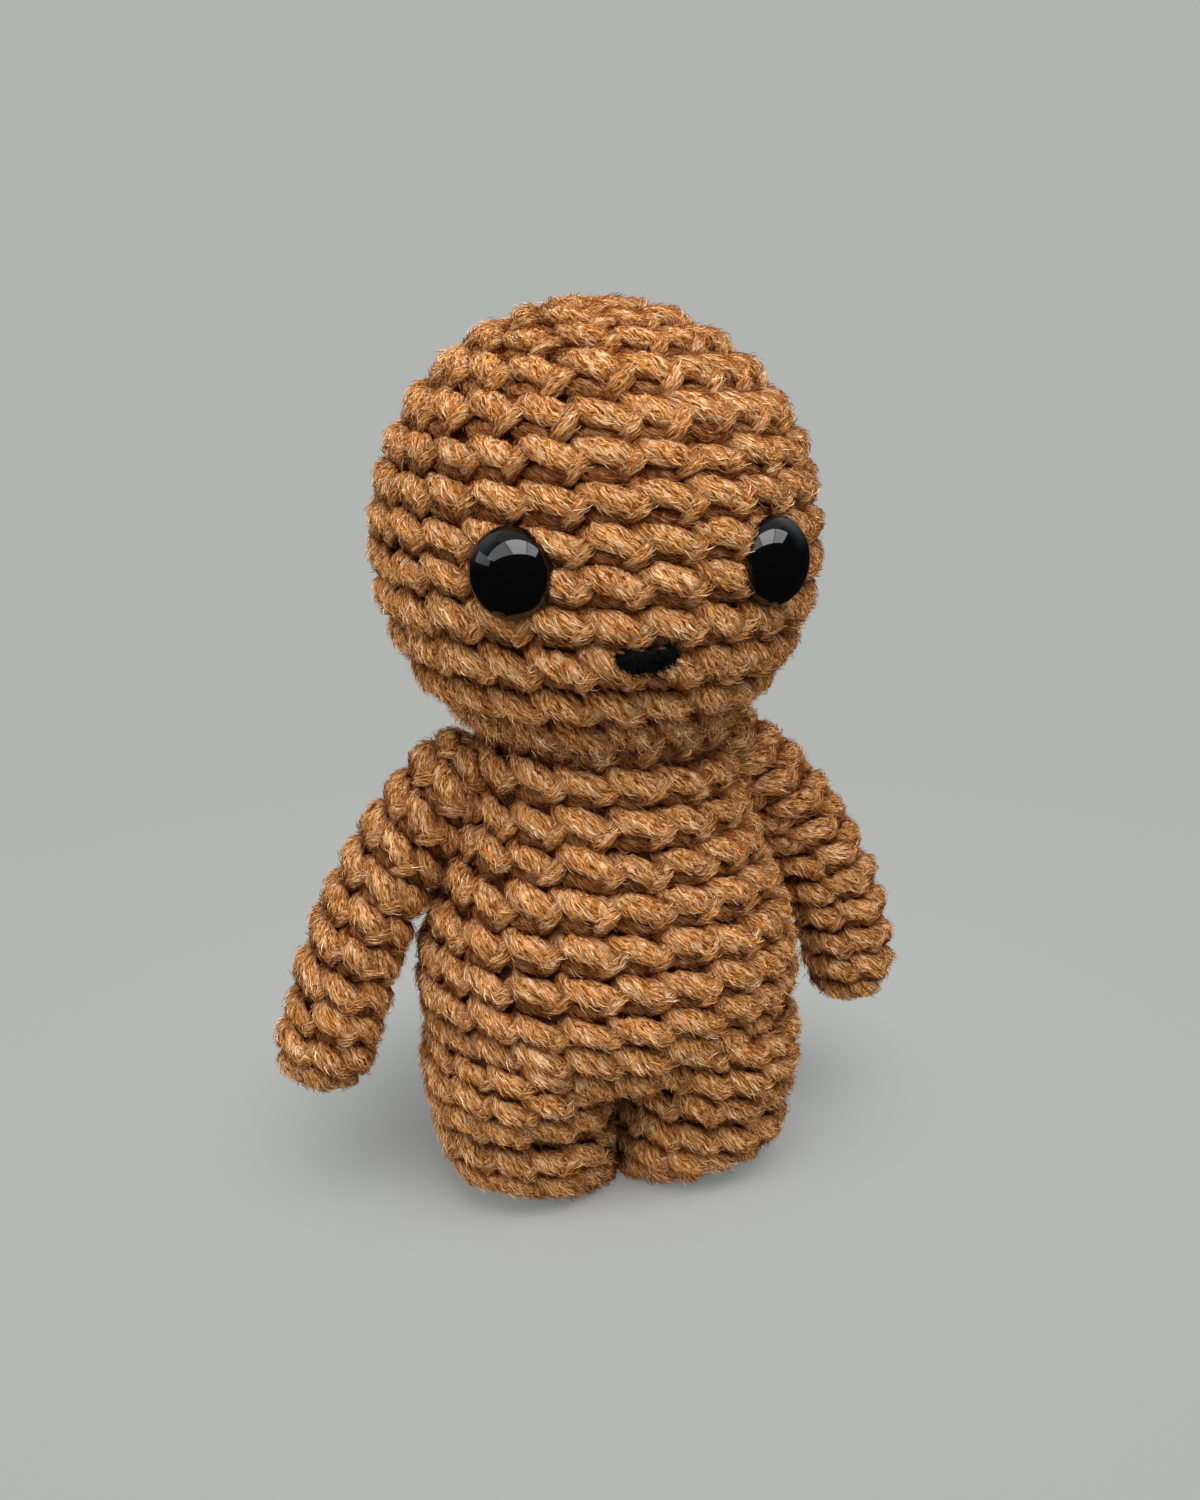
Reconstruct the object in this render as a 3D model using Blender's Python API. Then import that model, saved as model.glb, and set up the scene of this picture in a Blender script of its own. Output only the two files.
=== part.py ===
"""Crocheted doll: single-crochet covers over polyester filling, safety eyes and sewn-on arms.

The doll faces -Y, its own left side is +X and +Z is up. The origin lies on the floor, between the soles.
Lengths are metres. Pieces that touch keep GAP between them.
"""

from math import acos, asin, cos, hypot, pi, radians, sin, sqrt

import bmesh
import bpy
from mathutils import Vector

MM = 0.001

# Fabric, yarn and clearances
GAP = 0.3 * MM
FABRIC = 3.2 * MM
ARM_FABRIC = 2.6 * MM
ROW_GROOVE_DEPTH = 0.8 * MM
CUT_OVERRUN = 3.0 * MM

# Head, nearly a ball, whose filling bulges down into the neck
HEAD_RADIUS = 26.5 * MM
HEAD_HALF_HEIGHT = 27.2 * MM
HEAD_RIM_RADIUS = 18.8 * MM
NECK_RADIUS = 15.9 * MM
NECK_RISE = 5.4 * MM
NECK_BALL_RADIUS = 26.0 * MM
NECK_ROUNDING = 1.0 * MM

# Torso, a pear that is widest at the belly
NECK_BASE_HEIGHT = 58.2 * MM
NECK_BASE_SLOPE_SHARE = -0.1
BELLY_HEIGHT = 28.4 * MM
BELLY_HALF_WIDTH = 24.2 * MM
BELLY_HALF_DEPTH = 19.5 * MM
CROTCH_HEIGHT = 13.5 * MM

# Legs, two short cups that press against each other and widen towards the belly
LEG_RADIUS = 11.4 * MM
LEG_HALF_DEPTH = 12.2 * MM
THIGH_RADIUS = 12.1 * MM
THIGH_HALF_DEPTH = 16.0 * MM
THIGH_HEIGHT = 19.0 * MM
SOLE_HALF_HEIGHT = 8.0 * MM
SOLE_FLAT_DEPTH = 0.5 * MM

# Arms, each swelling from a round root at the shoulder to the hand
SHOULDER_DROP = 5.2 * MM
SHOULDER_AZIMUTH = {"left": radians(16), "right": radians(2)}
ROOT_PRESS = 0.6 * MM
ARM_BEND_OUT = 13.6 * MM
ARM_BEND_DROP = 12.9 * MM
HAND_OUT = 14.4 * MM
HAND_DROP = 29.8 * MM
ARM_ROOT_RADIUS = 4.5 * MM
ARM_MIDDLE_RADIUS = 5.5 * MM
HAND_RADIUS = 6.3 * MM
ARM_OPENING_RADIUS = 1.8 * MM
ARM_FORWARD = {"left": radians(5.6), "right": radians(5.6)}

# Sewing yarn over the top of each arm, round the shoulder's own axis
SHOULDER_TILT = radians(15)
SEAM_YARN_RADIUS = 0.8 * MM
SEAM_CLEARANCE = 1.0 * MM
SEAM_HALF_TURN = radians(75)

# Safety eyes, sunk a little in the fabric, each with a ribbed shank and a locking washer inside
EYE_RADIUS = 5.0 * MM
EYE_DOME_HEIGHT = 4.2 * MM
EYE_RIM = 0.5 * MM
EYE_SINK = 1.4 * MM
EYE_AZIMUTH = radians(33.5)
EYE_LATITUDE = radians(-1.2)
SHANK_RADIUS = 1.5 * MM
SHANK_LENGTH = 10.0 * MM
SHANK_TIP = 1.2 * MM
RIB_DEPTH = 0.25 * MM
RIB_PITCH = 1.4 * MM
RIB_COUNT = 4
WASHER_RADIUS = 5.5 * MM
WASHER_THICKNESS = 1.0 * MM
WASHER_SETBACK = 3.1 * MM
WASHER_HUB_RADIUS = 3.0 * MM
WASHER_HUB_HEIGHT = 0.6 * MM

# Mouth, one stitch of black yarn, and the yarn that draws the crown together
MOUTH_HALF_WIDTH = 3.1 * MM
MOUTH_LATITUDE = radians(-22.5)
MOUTH_YARN_RADIUS = 1.0 * MM
MOUTH_PROUD = 0.4 * MM
MOUTH_TAIL = 4.6 * MM
CROWN_RING_RADIUS = 2.4 * MM
CROWN_YARN_RADIUS = 1.0 * MM

# How finely round shapes are divided
BODY_SIDES = 32
BODY_FILLING_SIDES = 16
LIMB_SIDES = 20
LIMB_FILLING_SIDES = 10
SMALL_SIDES = 20
YARN_SIDES = 8
HEAD_STEPS = 14
HEAD_ROWS = 13
TORSO_ROWS = 6
TORSO_STEPS = 8
BALL_STEPS = 5
LIMB_STEPS = 6
CAP_STEPS = 4
EYE_STEPS = 6
SEAM_STEPS = 14
RING_STEPS = 16
MOUTH_STEPS = 4

YARN_BROWN = (0.42, 0.215, 0.088)
SEWING_BROWN = (0.34, 0.165, 0.065)
FIBRE_WHITE = (0.8, 0.8, 0.78)
PLASTIC_BLACK = (0.006, 0.006, 0.007)
YARN_BLACK = (0.012, 0.011, 0.011)
WASHER_WHITE = (0.75, 0.75, 0.72)
YARN_ROUGHNESS = 0.85
FIBRE_ROUGHNESS = 0.95
EYE_ROUGHNESS = 0.06
WASHER_ROUGHNESS = 0.45

SIDES = {"left": 1, "right": -1}

# Sizes that follow from those above
NECK_RIM_HEIGHT = NECK_BASE_HEIGHT + NECK_RISE
NECK_RIM_DROP = HEAD_HALF_HEIGHT * sqrt(1 - (HEAD_RIM_RADIUS / HEAD_RADIUS) ** 2)
NECK_PIVOT_HEIGHT = NECK_RIM_HEIGHT + sqrt(NECK_BALL_RADIUS**2 - HEAD_RIM_RADIUS**2)
HEAD_CENTRE_HEIGHT = NECK_RIM_HEIGHT + NECK_RIM_DROP
HEAD_TOP_HEIGHT = HEAD_CENTRE_HEIGHT + HEAD_HALF_HEIGHT
SHOULDER_HEIGHT = NECK_BASE_HEIGHT - SHOULDER_DROP
SEAM_INSET = ARM_ROOT_RADIUS - ROOT_PRESS - SEAM_YARN_RADIUS - SEAM_CLEARANCE
SOLE_CENTRE_HEIGHT = SOLE_HALF_HEIGHT - SOLE_FLAT_DEPTH
LEG_OUT = LEG_RADIUS + GAP / 2
THIGH_OUT = THIGH_RADIUS + GAP / 2
SHANK_HOLE_RADIUS = SHANK_RADIUS + RIB_DEPTH + GAP


def clear_scene():
    for old in list(bpy.data.objects):
        bpy.data.objects.remove(old, do_unlink=True)


def material(name, colour, roughness):
    made = bpy.data.materials.new(name)
    made.use_nodes = True
    shader = made.node_tree.nodes["Principled BSDF"]
    shader.inputs["Base Color"].default_value = (*colour, 1)
    shader.inputs["Roughness"].default_value = roughness
    shader.inputs["Metallic"].default_value = 0
    return made


def finish(made, colour, roughness):
    made.data.materials.append(material(made.name, colour, roughness))
    return made


def cutter(made):
    made.hide_render = True
    made.display_type = "WIRE"
    return made


def cut(made, tool):
    step = made.modifiers.new("less " + tool.name, "BOOLEAN")
    step.operation = "DIFFERENCE"
    step.solver = "EXACT"
    step.object = tool


def axis_empty(name, place):
    made = bpy.data.objects.new(name, None)
    made.location = place
    bpy.context.collection.objects.link(made)
    return made


def hang(made, axis):
    """Parents a piece modelled in world coordinates to an unturned empty on its joint's axis."""
    made.parent = axis
    made.location = -axis.location
    return made


def object_of(name, bm):
    """An object of a finished bmesh, with its faces pointing outwards and its round stretches smooth."""
    bmesh.ops.recalc_face_normals(bm, faces=bm.faces)
    mesh = bpy.data.meshes.new(name)
    bm.to_mesh(mesh)
    bm.free()
    mesh.shade_smooth()
    mesh.set_sharp_from_angle(angle=radians(40))
    made = bpy.data.objects.new(name, mesh)
    bpy.context.collection.objects.link(made)
    return made


# Shapes drawn through rings of points


def ring(centre, across, along):
    """A ring of a skin: its centre and its two half-axes, which are zero at a pole."""
    return Vector(centre), Vector(across), Vector(along)


def level_ring(radius, height, x=0.0, depth=None):
    return ring((x, 0, height), (radius, 0, 0), (0, radius if depth is None else depth, 0))


def skin(name, rings, sides, closed=False):
    """A closed body through the rings. With closed, the last ring joins the first, as in a tyre."""
    bm = bmesh.new()
    loops = []
    turns = [2 * pi * i / sides for i in range(sides)]
    for centre, across, along in rings:
        if across.length == 0:
            loops.append([bm.verts.new(centre)] * sides)
        else:
            loops.append([bm.verts.new(centre + across * cos(t) + along * sin(t)) for t in turns])
    pairs = list(zip(loops[:-1], loops[1:]))
    if closed:
        pairs.append((loops[-1], loops[0]))
    for low, high in pairs:
        for i in range(sides):
            j = (i + 1) % sides
            bm.faces.new(dict.fromkeys((low[i], low[j], high[j], high[i])))
    if not closed:
        for loop in (loops[0], loops[-1]):
            if loop[0] is not loop[1]:
                bm.faces.new(loop)
    return object_of(name, bm)


def sweep(name, points, radius, closed=False):
    """A tube of even radius along a list of points, which may be a closed loop."""
    rings = []
    side = None
    count = len(points)
    for i, point in enumerate(points):
        ahead = points[(i + 1) % count] if closed else points[min(i + 1, count - 1)]
        behind = points[i - 1] if closed else points[max(i - 1, 0)]
        forward = (ahead - behind).normalized()
        if side is None:
            side = forward.orthogonal()
        side = (side - forward * side.dot(forward)).normalized()
        rings.append(ring(point, side * radius, forward.cross(side) * radius))
    return skin(name, rings, YARN_SIDES, closed)


def smooth_path(knots, steps):
    """Points on a smooth curve that passes through the knots."""
    path = []
    for i in range(len(knots) - 1):
        start, end = knots[i], knots[i + 1]
        before, after = knots[max(i - 1, 0)], knots[min(i + 2, len(knots) - 1)]
        for step in range(steps):
            t = step / steps
            path.append(
                start
                + (end - before) * (t / 2)
                + (before * 2 - start * 5 + end * 4 - after) * (t**2 / 2)
                + (start * 3 - before - end * 3 + after) * (t**3 / 2)
            )
    return path + [knots[-1]]


def bent(start, bend, end, t):
    """A value or point on the way from start to end, drawn towards bend."""
    return start * (1 - t) ** 2 + bend * (2 * t * (1 - t)) + end * t**2


# Head and neck


def head_arc(low_radius, grow, rows=0):
    """Rings from the crown down to where the underside of the head has this radius.

    With rows, a groove parts each crocheted row from the next, save round the crown's first row."""
    lowest = -acos(low_radius / (HEAD_RADIUS + grow))
    steps = 2 * rows or HEAD_STEPS
    rings = [level_ring(0, HEAD_CENTRE_HEIGHT + HEAD_HALF_HEIGHT + grow)]
    for i in range(1, steps + 1):
        turn = pi / 2 + (lowest - pi / 2) * i / steps
        grooved = rows > 0 and i % 2 == 0 and 2 < i < steps
        out = grow - ROW_GROOVE_DEPTH if grooved else grow
        width = (HEAD_RADIUS + out) * cos(turn)
        rings.append(level_ring(width, HEAD_CENTRE_HEIGHT + (HEAD_HALF_HEIGHT + out) * sin(turn)))
    return rings


def ball_arc(from_radius, to_radius, grow):
    """Rings on the ball-shaped seat between head and neck, from one radius to the other."""
    rings = []
    for i in range(BALL_STEPS + 1):
        radius = from_radius + (to_radius - from_radius) * i / BALL_STEPS
        drop = sqrt((NECK_BALL_RADIUS + grow) ** 2 - radius**2)
        rings.append(level_ring(radius, NECK_PIVOT_HEIGHT - drop))
    return rings


def head_direction(azimuth, latitude):
    """Azimuth 0 is the middle of the face, and grows towards the doll's own left."""
    return Vector((sin(azimuth) * cos(latitude), -cos(azimuth) * cos(latitude), sin(latitude)))


def head_point(azimuth, latitude, lift):
    """A point this far above the surface of the head."""
    direction = head_direction(azimuth, latitude)
    flat = direction.xy.length / HEAD_RADIUS
    tall = direction.z / HEAD_HALF_HEIGHT
    return Vector((0, 0, HEAD_CENTRE_HEIGHT)) + direction * (1 / sqrt(flat**2 + tall**2) + lift)


def make_head():
    inner_rim = HEAD_RIM_RADIUS - FABRIC
    rings = head_arc(HEAD_RIM_RADIUS, 0.0, HEAD_ROWS)
    rings += ball_arc(HEAD_RIM_RADIUS, inner_rim, 0.0)[1:]
    rings += reversed(head_arc(inner_rim, -FABRIC))
    cover = finish(skin("head_cover", rings, BODY_SIDES), YARN_BROWN, YARN_ROUGHNESS)
    rings = head_arc(inner_rim - GAP, -FABRIC - GAP)
    rings += ball_arc(inner_rim - GAP, 0.0, 0.0)
    filling = finish(skin("head_filling", rings, BODY_FILLING_SIDES), FIBRE_WHITE, FIBRE_ROUGHNESS)
    return cover, filling


def make_neck():
    inner_rim = HEAD_RIM_RADIUS - FABRIC
    base = NECK_BASE_HEIGHT + GAP
    rings = [level_ring(NECK_RADIUS, base)]
    rings.append(level_ring(HEAD_RIM_RADIUS, NECK_RIM_HEIGHT - GAP - NECK_ROUNDING))
    rings += ball_arc(HEAD_RIM_RADIUS - NECK_ROUNDING, inner_rim, GAP)
    rings.append(level_ring(NECK_RADIUS - FABRIC, base))
    cover = skin("neck_cover", rings, BODY_SIDES, closed=True)
    return finish(cover, YARN_BROWN, YARN_ROUGHNESS)


# Torso


def torso_halves(height):
    """The torso's half-width and half-depth at this height."""
    if height < BELLY_HEIGHT:
        share = sqrt(1 - ((BELLY_HEIGHT - height) / (BELLY_HEIGHT - CROTCH_HEIGHT)) ** 2)
        return BELLY_HALF_WIDTH * share, BELLY_HALF_DEPTH * share
    rise = NECK_BASE_HEIGHT - BELLY_HEIGHT
    t = (height - BELLY_HEIGHT) / rise
    upper = t * t * (3 - 2 * t)
    flare = t * t * (t - 1) * rise * NECK_BASE_SLOPE_SHARE
    width = BELLY_HALF_WIDTH + (NECK_RADIUS - BELLY_HALF_WIDTH) * upper + flare
    depth = BELLY_HALF_DEPTH + (NECK_RADIUS - BELLY_HALF_DEPTH) * upper + flare
    return width, depth


def torso_outline(grow, rows=0):
    """Rings from the crotch up to the neck's base, this far outside the torso's surface.

    With rows above the belly, a groove parts each crocheted row from the next, but the arms' roots
    keep the flanks smooth."""
    steps = 2 * rows or TORSO_STEPS
    heights = []
    for i in range(1, TORSO_STEPS):
        turn = pi / 2 * (i / TORSO_STEPS - 1)
        heights.append(BELLY_HEIGHT + (BELLY_HEIGHT - CROTCH_HEIGHT) * sin(turn))
    for i in range(steps + 1):
        heights.append(BELLY_HEIGHT + (NECK_BASE_HEIGHT - BELLY_HEIGHT) * i / steps)
    places = [(0.0, 0.0, CROTCH_HEIGHT)] + [(*torso_halves(height), height) for height in heights]
    rings = [level_ring(0, CROTCH_HEIGHT - grow)]
    for i, (before, (width, depth, height), after) in enumerate(zip(places, places[1:], places[2:]), 1):
        facing = Vector((after[2] - before[2], before[0] - after[0])).normalized()
        grooved = rows > 0 and (i - TORSO_STEPS) % 2 == 0
        out = grow - ROW_GROOVE_DEPTH if grooved else grow
        flank = grow if abs(height - SHOULDER_HEIGHT) < ARM_ROOT_RADIUS else out
        wide = width + flank * facing.x
        rings.append(level_ring(wide, height + out * facing.y, depth=depth + out * facing.x))
    return rings + [level_ring(NECK_RADIUS + grow, NECK_BASE_HEIGHT)]


def make_torso(leg_hollows, arm_seats):
    rings = torso_outline(0.0, TORSO_ROWS) + list(reversed(torso_outline(-FABRIC)))
    cover = finish(skin("torso_cover", rings, BODY_SIDES), YARN_BROWN, YARN_ROUGHNESS)
    for tool in leg_hollows + arm_seats:
        cut(cover, tool)
    rings = torso_outline(-FABRIC - GAP)
    rings += ball_arc(NECK_RADIUS - FABRIC - GAP, 0.0, GAP)
    filling = finish(skin("torso_filling", rings, BODY_FILLING_SIDES), FIBRE_WHITE, FIBRE_ROUGHNESS)
    return cover, filling


# Legs


def leg_rings(side, grow):
    """Rings from the sole up to the round top of the thigh, this far outside the leg's surface."""
    sign = SIDES[side]
    tall = SOLE_HALF_HEIGHT + grow
    flat = grow == 0
    lowest = -asin(SOLE_CENTRE_HEIGHT / tall) if flat else -pi / 2
    rings = [] if flat else [level_ring(0, SOLE_CENTRE_HEIGHT - tall, sign * LEG_OUT)]
    for i in range(0 if flat else 1, LIMB_STEPS + 1):
        turn = lowest * (1 - i / LIMB_STEPS)
        height = SOLE_CENTRE_HEIGHT + tall * sin(turn)
        width = (LEG_RADIUS + grow) * cos(turn)
        rings.append(level_ring(width, height, sign * LEG_OUT, (LEG_HALF_DEPTH + grow) * cos(turn)))
    for i in range(1, CAP_STEPS):
        t = i / CAP_STEPS
        widening = t * t * (3 - 2 * t)
        width = LEG_RADIUS + (THIGH_RADIUS - LEG_RADIUS) * widening
        depth = LEG_HALF_DEPTH + (THIGH_HALF_DEPTH - LEG_HALF_DEPTH) * widening
        height = SOLE_CENTRE_HEIGHT + (THIGH_HEIGHT - SOLE_CENTRE_HEIGHT) * t
        rings.append(level_ring(width + grow, height, sign * (width + GAP / 2), depth + grow))
    width = THIGH_RADIUS + grow
    depth = THIGH_HALF_DEPTH + grow
    for i in range(CAP_STEPS):
        turn = pi / 2 * i / CAP_STEPS
        height = THIGH_HEIGHT + width * sin(turn)
        rings.append(level_ring(width * cos(turn), height, sign * THIGH_OUT, depth * cos(turn)))
    return rings + [level_ring(0, THIGH_HEIGHT + width, sign * THIGH_OUT)]


def make_leg(side, hollow, torso_clearance, torso_hollow):
    cover = skin("leg_cover_" + side, leg_rings(side, 0.0), LIMB_SIDES)
    cut(cover, hollow)
    cut(cover, torso_clearance)
    rings = leg_rings(side, -FABRIC - GAP)
    filling = skin("leg_filling_" + side, rings, LIMB_FILLING_SIDES)
    cut(filling, torso_hollow)
    return finish(cover, YARN_BROWN, YARN_ROUGHNESS), finish(filling, FIBRE_WHITE, FIBRE_ROUGHNESS)


# Arms


def shoulder(side):
    """The middle of the arm's round root, which presses a little into the torso's flank."""
    azimuth = SHOULDER_AZIMUTH[side]
    width, depth = torso_halves(SHOULDER_HEIGHT)
    flank = 1 / hypot(cos(azimuth) / width, sin(azimuth) / depth)
    out = flank + ARM_ROOT_RADIUS - ROOT_PRESS
    return Vector((SIDES[side] * cos(azimuth) * out, sin(azimuth) * out, SHOULDER_HEIGHT))


def shoulder_axis(side):
    """The direction square to the torso's flank at the shoulder, outwards and up."""
    azimuth = SHOULDER_AZIMUTH[side]
    level = cos(SHOULDER_TILT)
    return Vector((SIDES[side] * cos(azimuth) * level, sin(azimuth) * level, sin(SHOULDER_TILT)))


def arm_rings(side, grow):
    """Rings from the round root to the hand, with the shoulder at the origin."""
    sign = SIDES[side]
    bend = Vector((sign * ARM_BEND_OUT, 0, -ARM_BEND_DROP))
    hand = Vector((sign * HAND_OUT, 0, -HAND_DROP))
    across = Vector((0, 1, 0))

    def arm_ring(centre, forward, radius):
        return ring(centre, across * radius, forward.cross(across) * radius)

    root_way = bend.normalized()
    hand_way = (hand - bend).normalized()
    root_radius = ARM_ROOT_RADIUS + grow
    hand_radius = HAND_RADIUS + grow
    rings = [ring(-root_way * root_radius, (0, 0, 0), (0, 0, 0))]
    for i in range(1, CAP_STEPS):
        turn = pi / 2 * i / CAP_STEPS
        rings.append(arm_ring(-root_way * root_radius * cos(turn), root_way, root_radius * sin(turn)))
    for i in range(LIMB_STEPS + 1):
        t = i / LIMB_STEPS
        forward = (bend * (1 - t) + (hand - bend) * t).normalized()
        radius = bent(root_radius, ARM_MIDDLE_RADIUS + grow, hand_radius, t)
        rings.append(arm_ring(bent(Vector(), bend, hand, t), forward, radius))
    for i in range(1, CAP_STEPS):
        turn = pi / 2 * i / CAP_STEPS
        rings.append(arm_ring(hand + hand_way * hand_radius * sin(turn), hand_way, hand_radius * cos(turn)))
    return rings + [ring(hand + hand_way * hand_radius, (0, 0, 0), (0, 0, 0))]


def place_arm(made, side):
    made.location = shoulder(side)
    made.rotation_euler = (-ARM_FORWARD[side], 0, SIDES[side] * SHOULDER_AZIMUTH[side])
    return made


def arm_seat(side):
    """The hollow that the round root presses into the torso's flank."""
    bm = bmesh.new()
    bmesh.ops.create_uvsphere(
        bm, u_segments=SMALL_SIDES, v_segments=RING_STEPS, radius=ARM_ROOT_RADIUS + GAP
    )
    made = cutter(object_of("arm_seat_" + side, bm))
    made.location = shoulder(side)
    return made


def arm_opening(side):
    """The opening at the arm's root, towards the torso, through which the arm is filled."""
    bm = bmesh.new()
    length = ARM_ROOT_RADIUS + CUT_OVERRUN
    bmesh.ops.create_cone(
        bm,
        cap_ends=True,
        segments=SMALL_SIDES,
        radius1=ARM_OPENING_RADIUS,
        radius2=ARM_OPENING_RADIUS,
        depth=length,
    )
    made = cutter(object_of("arm_opening_" + side, bm))
    made.location = shoulder(side) - shoulder_axis(side) * (length / 2)
    made.rotation_euler = shoulder_axis(side).to_track_quat("Z", "Y").to_euler()
    return made


def make_arm(side):
    cover = place_arm(skin("arm_cover_" + side, arm_rings(side, 0.0), LIMB_SIDES), side)
    cut(cover, place_arm(cutter(skin("arm_hollow_" + side, arm_rings(side, -ARM_FABRIC), LIMB_SIDES)), side))
    cut(cover, arm_opening(side))
    rings = arm_rings(side, -ARM_FABRIC - GAP)
    filling = place_arm(skin("arm_filling_" + side, rings, LIMB_FILLING_SIDES), side)
    return finish(cover, YARN_BROWN, YARN_ROUGHNESS), finish(filling, FIBRE_WHITE, FIBRE_ROUGHNESS)


def make_arm_seam(side):
    axis = Vector((SIDES[side] * cos(SHOULDER_TILT), 0, sin(SHOULDER_TILT)))
    up = Vector((-SIDES[side] * sin(SHOULDER_TILT), 0, cos(SHOULDER_TILT)))
    reach = sqrt((ARM_ROOT_RADIUS + GAP + SEAM_YARN_RADIUS) ** 2 - SEAM_INSET**2)
    points = []
    for i in range(SEAM_STEPS + 1):
        turn = SEAM_HALF_TURN * (2 * i / SEAM_STEPS - 1)
        points.append(up * reach * cos(turn) + Vector((0, reach * sin(turn), 0)) - axis * SEAM_INSET)
    seam = sweep("arm_seam_" + side, points, SEAM_YARN_RADIUS)
    seam.location = shoulder(side)
    seam.rotation_euler.z = SIDES[side] * SHOULDER_AZIMUTH[side]
    return finish(seam, SEWING_BROWN, YARN_ROUGHNESS)


# Eyes, mouth and crown


def place_eye_piece(made, side, axis):
    """Stands a piece modelled along +Z on the flat of its eye, square to the head."""
    azimuth = SIDES[side] * EYE_AZIMUTH
    made.parent = axis
    made.location = head_point(azimuth, EYE_LATITUDE, -EYE_SINK) - axis.location
    made.rotation_euler = head_direction(azimuth, EYE_LATITUDE).to_track_quat("Z", "Y").to_euler()
    return made


def make_eye(side, axis):
    rings = [level_ring(0, -SHANK_LENGTH), level_ring(SHANK_RADIUS, -SHANK_LENGTH + SHANK_TIP)]
    for i in range(RIB_COUNT):
        foot = -SHANK_LENGTH + SHANK_TIP + RIB_PITCH * (i + 1 / 2)
        rings.append(level_ring(SHANK_RADIUS + RIB_DEPTH, foot))
        rings.append(level_ring(SHANK_RADIUS, foot + RIB_PITCH / 2))
    rings.append(level_ring(SHANK_RADIUS, 0))
    rings.append(level_ring(EYE_RADIUS - EYE_RIM, 0))
    for i in range(EYE_STEPS):
        turn = pi / 2 * i / EYE_STEPS
        rings.append(level_ring(EYE_RADIUS * cos(turn), EYE_RIM + (EYE_DOME_HEIGHT - EYE_RIM) * sin(turn)))
    rings.append(level_ring(0, EYE_DOME_HEIGHT))
    eye = skin("eye_" + side, rings, SMALL_SIDES)
    return finish(place_eye_piece(eye, side, axis), PLASTIC_BLACK, EYE_ROUGHNESS)


def make_washer(side, axis):
    front = -WASHER_SETBACK
    back = front - WASHER_THICKNESS
    rings = [
        level_ring(SHANK_HOLE_RADIUS, front),
        level_ring(WASHER_RADIUS, front),
        level_ring(WASHER_RADIUS, back),
        level_ring(WASHER_HUB_RADIUS, back),
        level_ring(WASHER_HUB_RADIUS, back - WASHER_HUB_HEIGHT),
        level_ring(SHANK_HOLE_RADIUS, back - WASHER_HUB_HEIGHT),
    ]
    washer = skin("eye_washer_" + side, rings, SMALL_SIDES, closed=True)
    return finish(place_eye_piece(washer, side, axis), WASHER_WHITE, WASHER_ROUGHNESS)


def eye_seat(side, axis):
    """The dent and hole that the eye makes in the fabric."""
    rings = [
        level_ring(SHANK_HOLE_RADIUS, -SHANK_LENGTH),
        level_ring(SHANK_HOLE_RADIUS, -GAP),
        level_ring(EYE_RADIUS + GAP, -GAP),
        level_ring(EYE_RADIUS + GAP, EYE_DOME_HEIGHT + CUT_OVERRUN),
    ]
    return place_eye_piece(cutter(skin("eye_seat_" + side, rings, SMALL_SIDES)), side, axis)


def washer_pocket(side, axis):
    """The pocket that the washer and the shank's end press in the filling."""
    deep = -WASHER_SETBACK - WASHER_THICKNESS - WASHER_HUB_HEIGHT - GAP
    rings = [
        level_ring(SHANK_HOLE_RADIUS, -SHANK_LENGTH - GAP),
        level_ring(SHANK_HOLE_RADIUS, deep),
        level_ring(WASHER_RADIUS + GAP, deep),
        level_ring(WASHER_RADIUS + GAP, CUT_OVERRUN),
    ]
    return place_eye_piece(cutter(skin("washer_pocket_" + side, rings, SMALL_SIDES)), side, axis)


def mouth_path(tail):
    """From this deep inside the head, out at one corner of the mouth, over the surface and in again."""
    corner = MOUTH_HALF_WIDTH / (HEAD_RADIUS * cos(MOUTH_LATITUDE))
    knots = [(-corner, -tail), (-corner, -MOUTH_YARN_RADIUS), (0.0, MOUTH_PROUD)]
    knots += [(corner, -MOUTH_YARN_RADIUS), (corner, -tail)]
    return smooth_path([head_point(turn, MOUTH_LATITUDE, lift) for turn, lift in knots], MOUTH_STEPS)


def crown_path():
    points = []
    for i in range(RING_STEPS):
        turn = 2 * pi * i / RING_STEPS
        points.append(
            Vector(
                (
                    CROWN_RING_RADIUS * cos(turn),
                    CROWN_RING_RADIUS * sin(turn),
                    HEAD_TOP_HEIGHT - CROWN_YARN_RADIUS,
                )
            )
        )
    return points


def make_head_pieces(axis):
    cover, filling = (hang(made, axis) for made in make_head())
    for side in SIDES:
        make_eye(side, axis)
        make_washer(side, axis)
        cut(cover, eye_seat(side, axis))
        cut(filling, washer_pocket(side, axis))
    mouth = hang(sweep("mouth_stitch", mouth_path(MOUTH_TAIL), MOUTH_YARN_RADIUS), axis)
    finish(mouth, YARN_BLACK, YARN_ROUGHNESS)
    path = mouth_path(MOUTH_TAIL + GAP)
    mouth_hole = hang(cutter(sweep("mouth_hole", path, MOUTH_YARN_RADIUS + GAP)), axis)
    cut(cover, mouth_hole)
    cut(filling, mouth_hole)
    crown = hang(sweep("crown_yarn", crown_path(), CROWN_YARN_RADIUS, closed=True), axis)
    finish(crown, SEWING_BROWN, YARN_ROUGHNESS)
    groove = sweep("crown_groove", crown_path(), CROWN_YARN_RADIUS + GAP, closed=True)
    cut(cover, hang(cutter(groove), axis))


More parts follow.
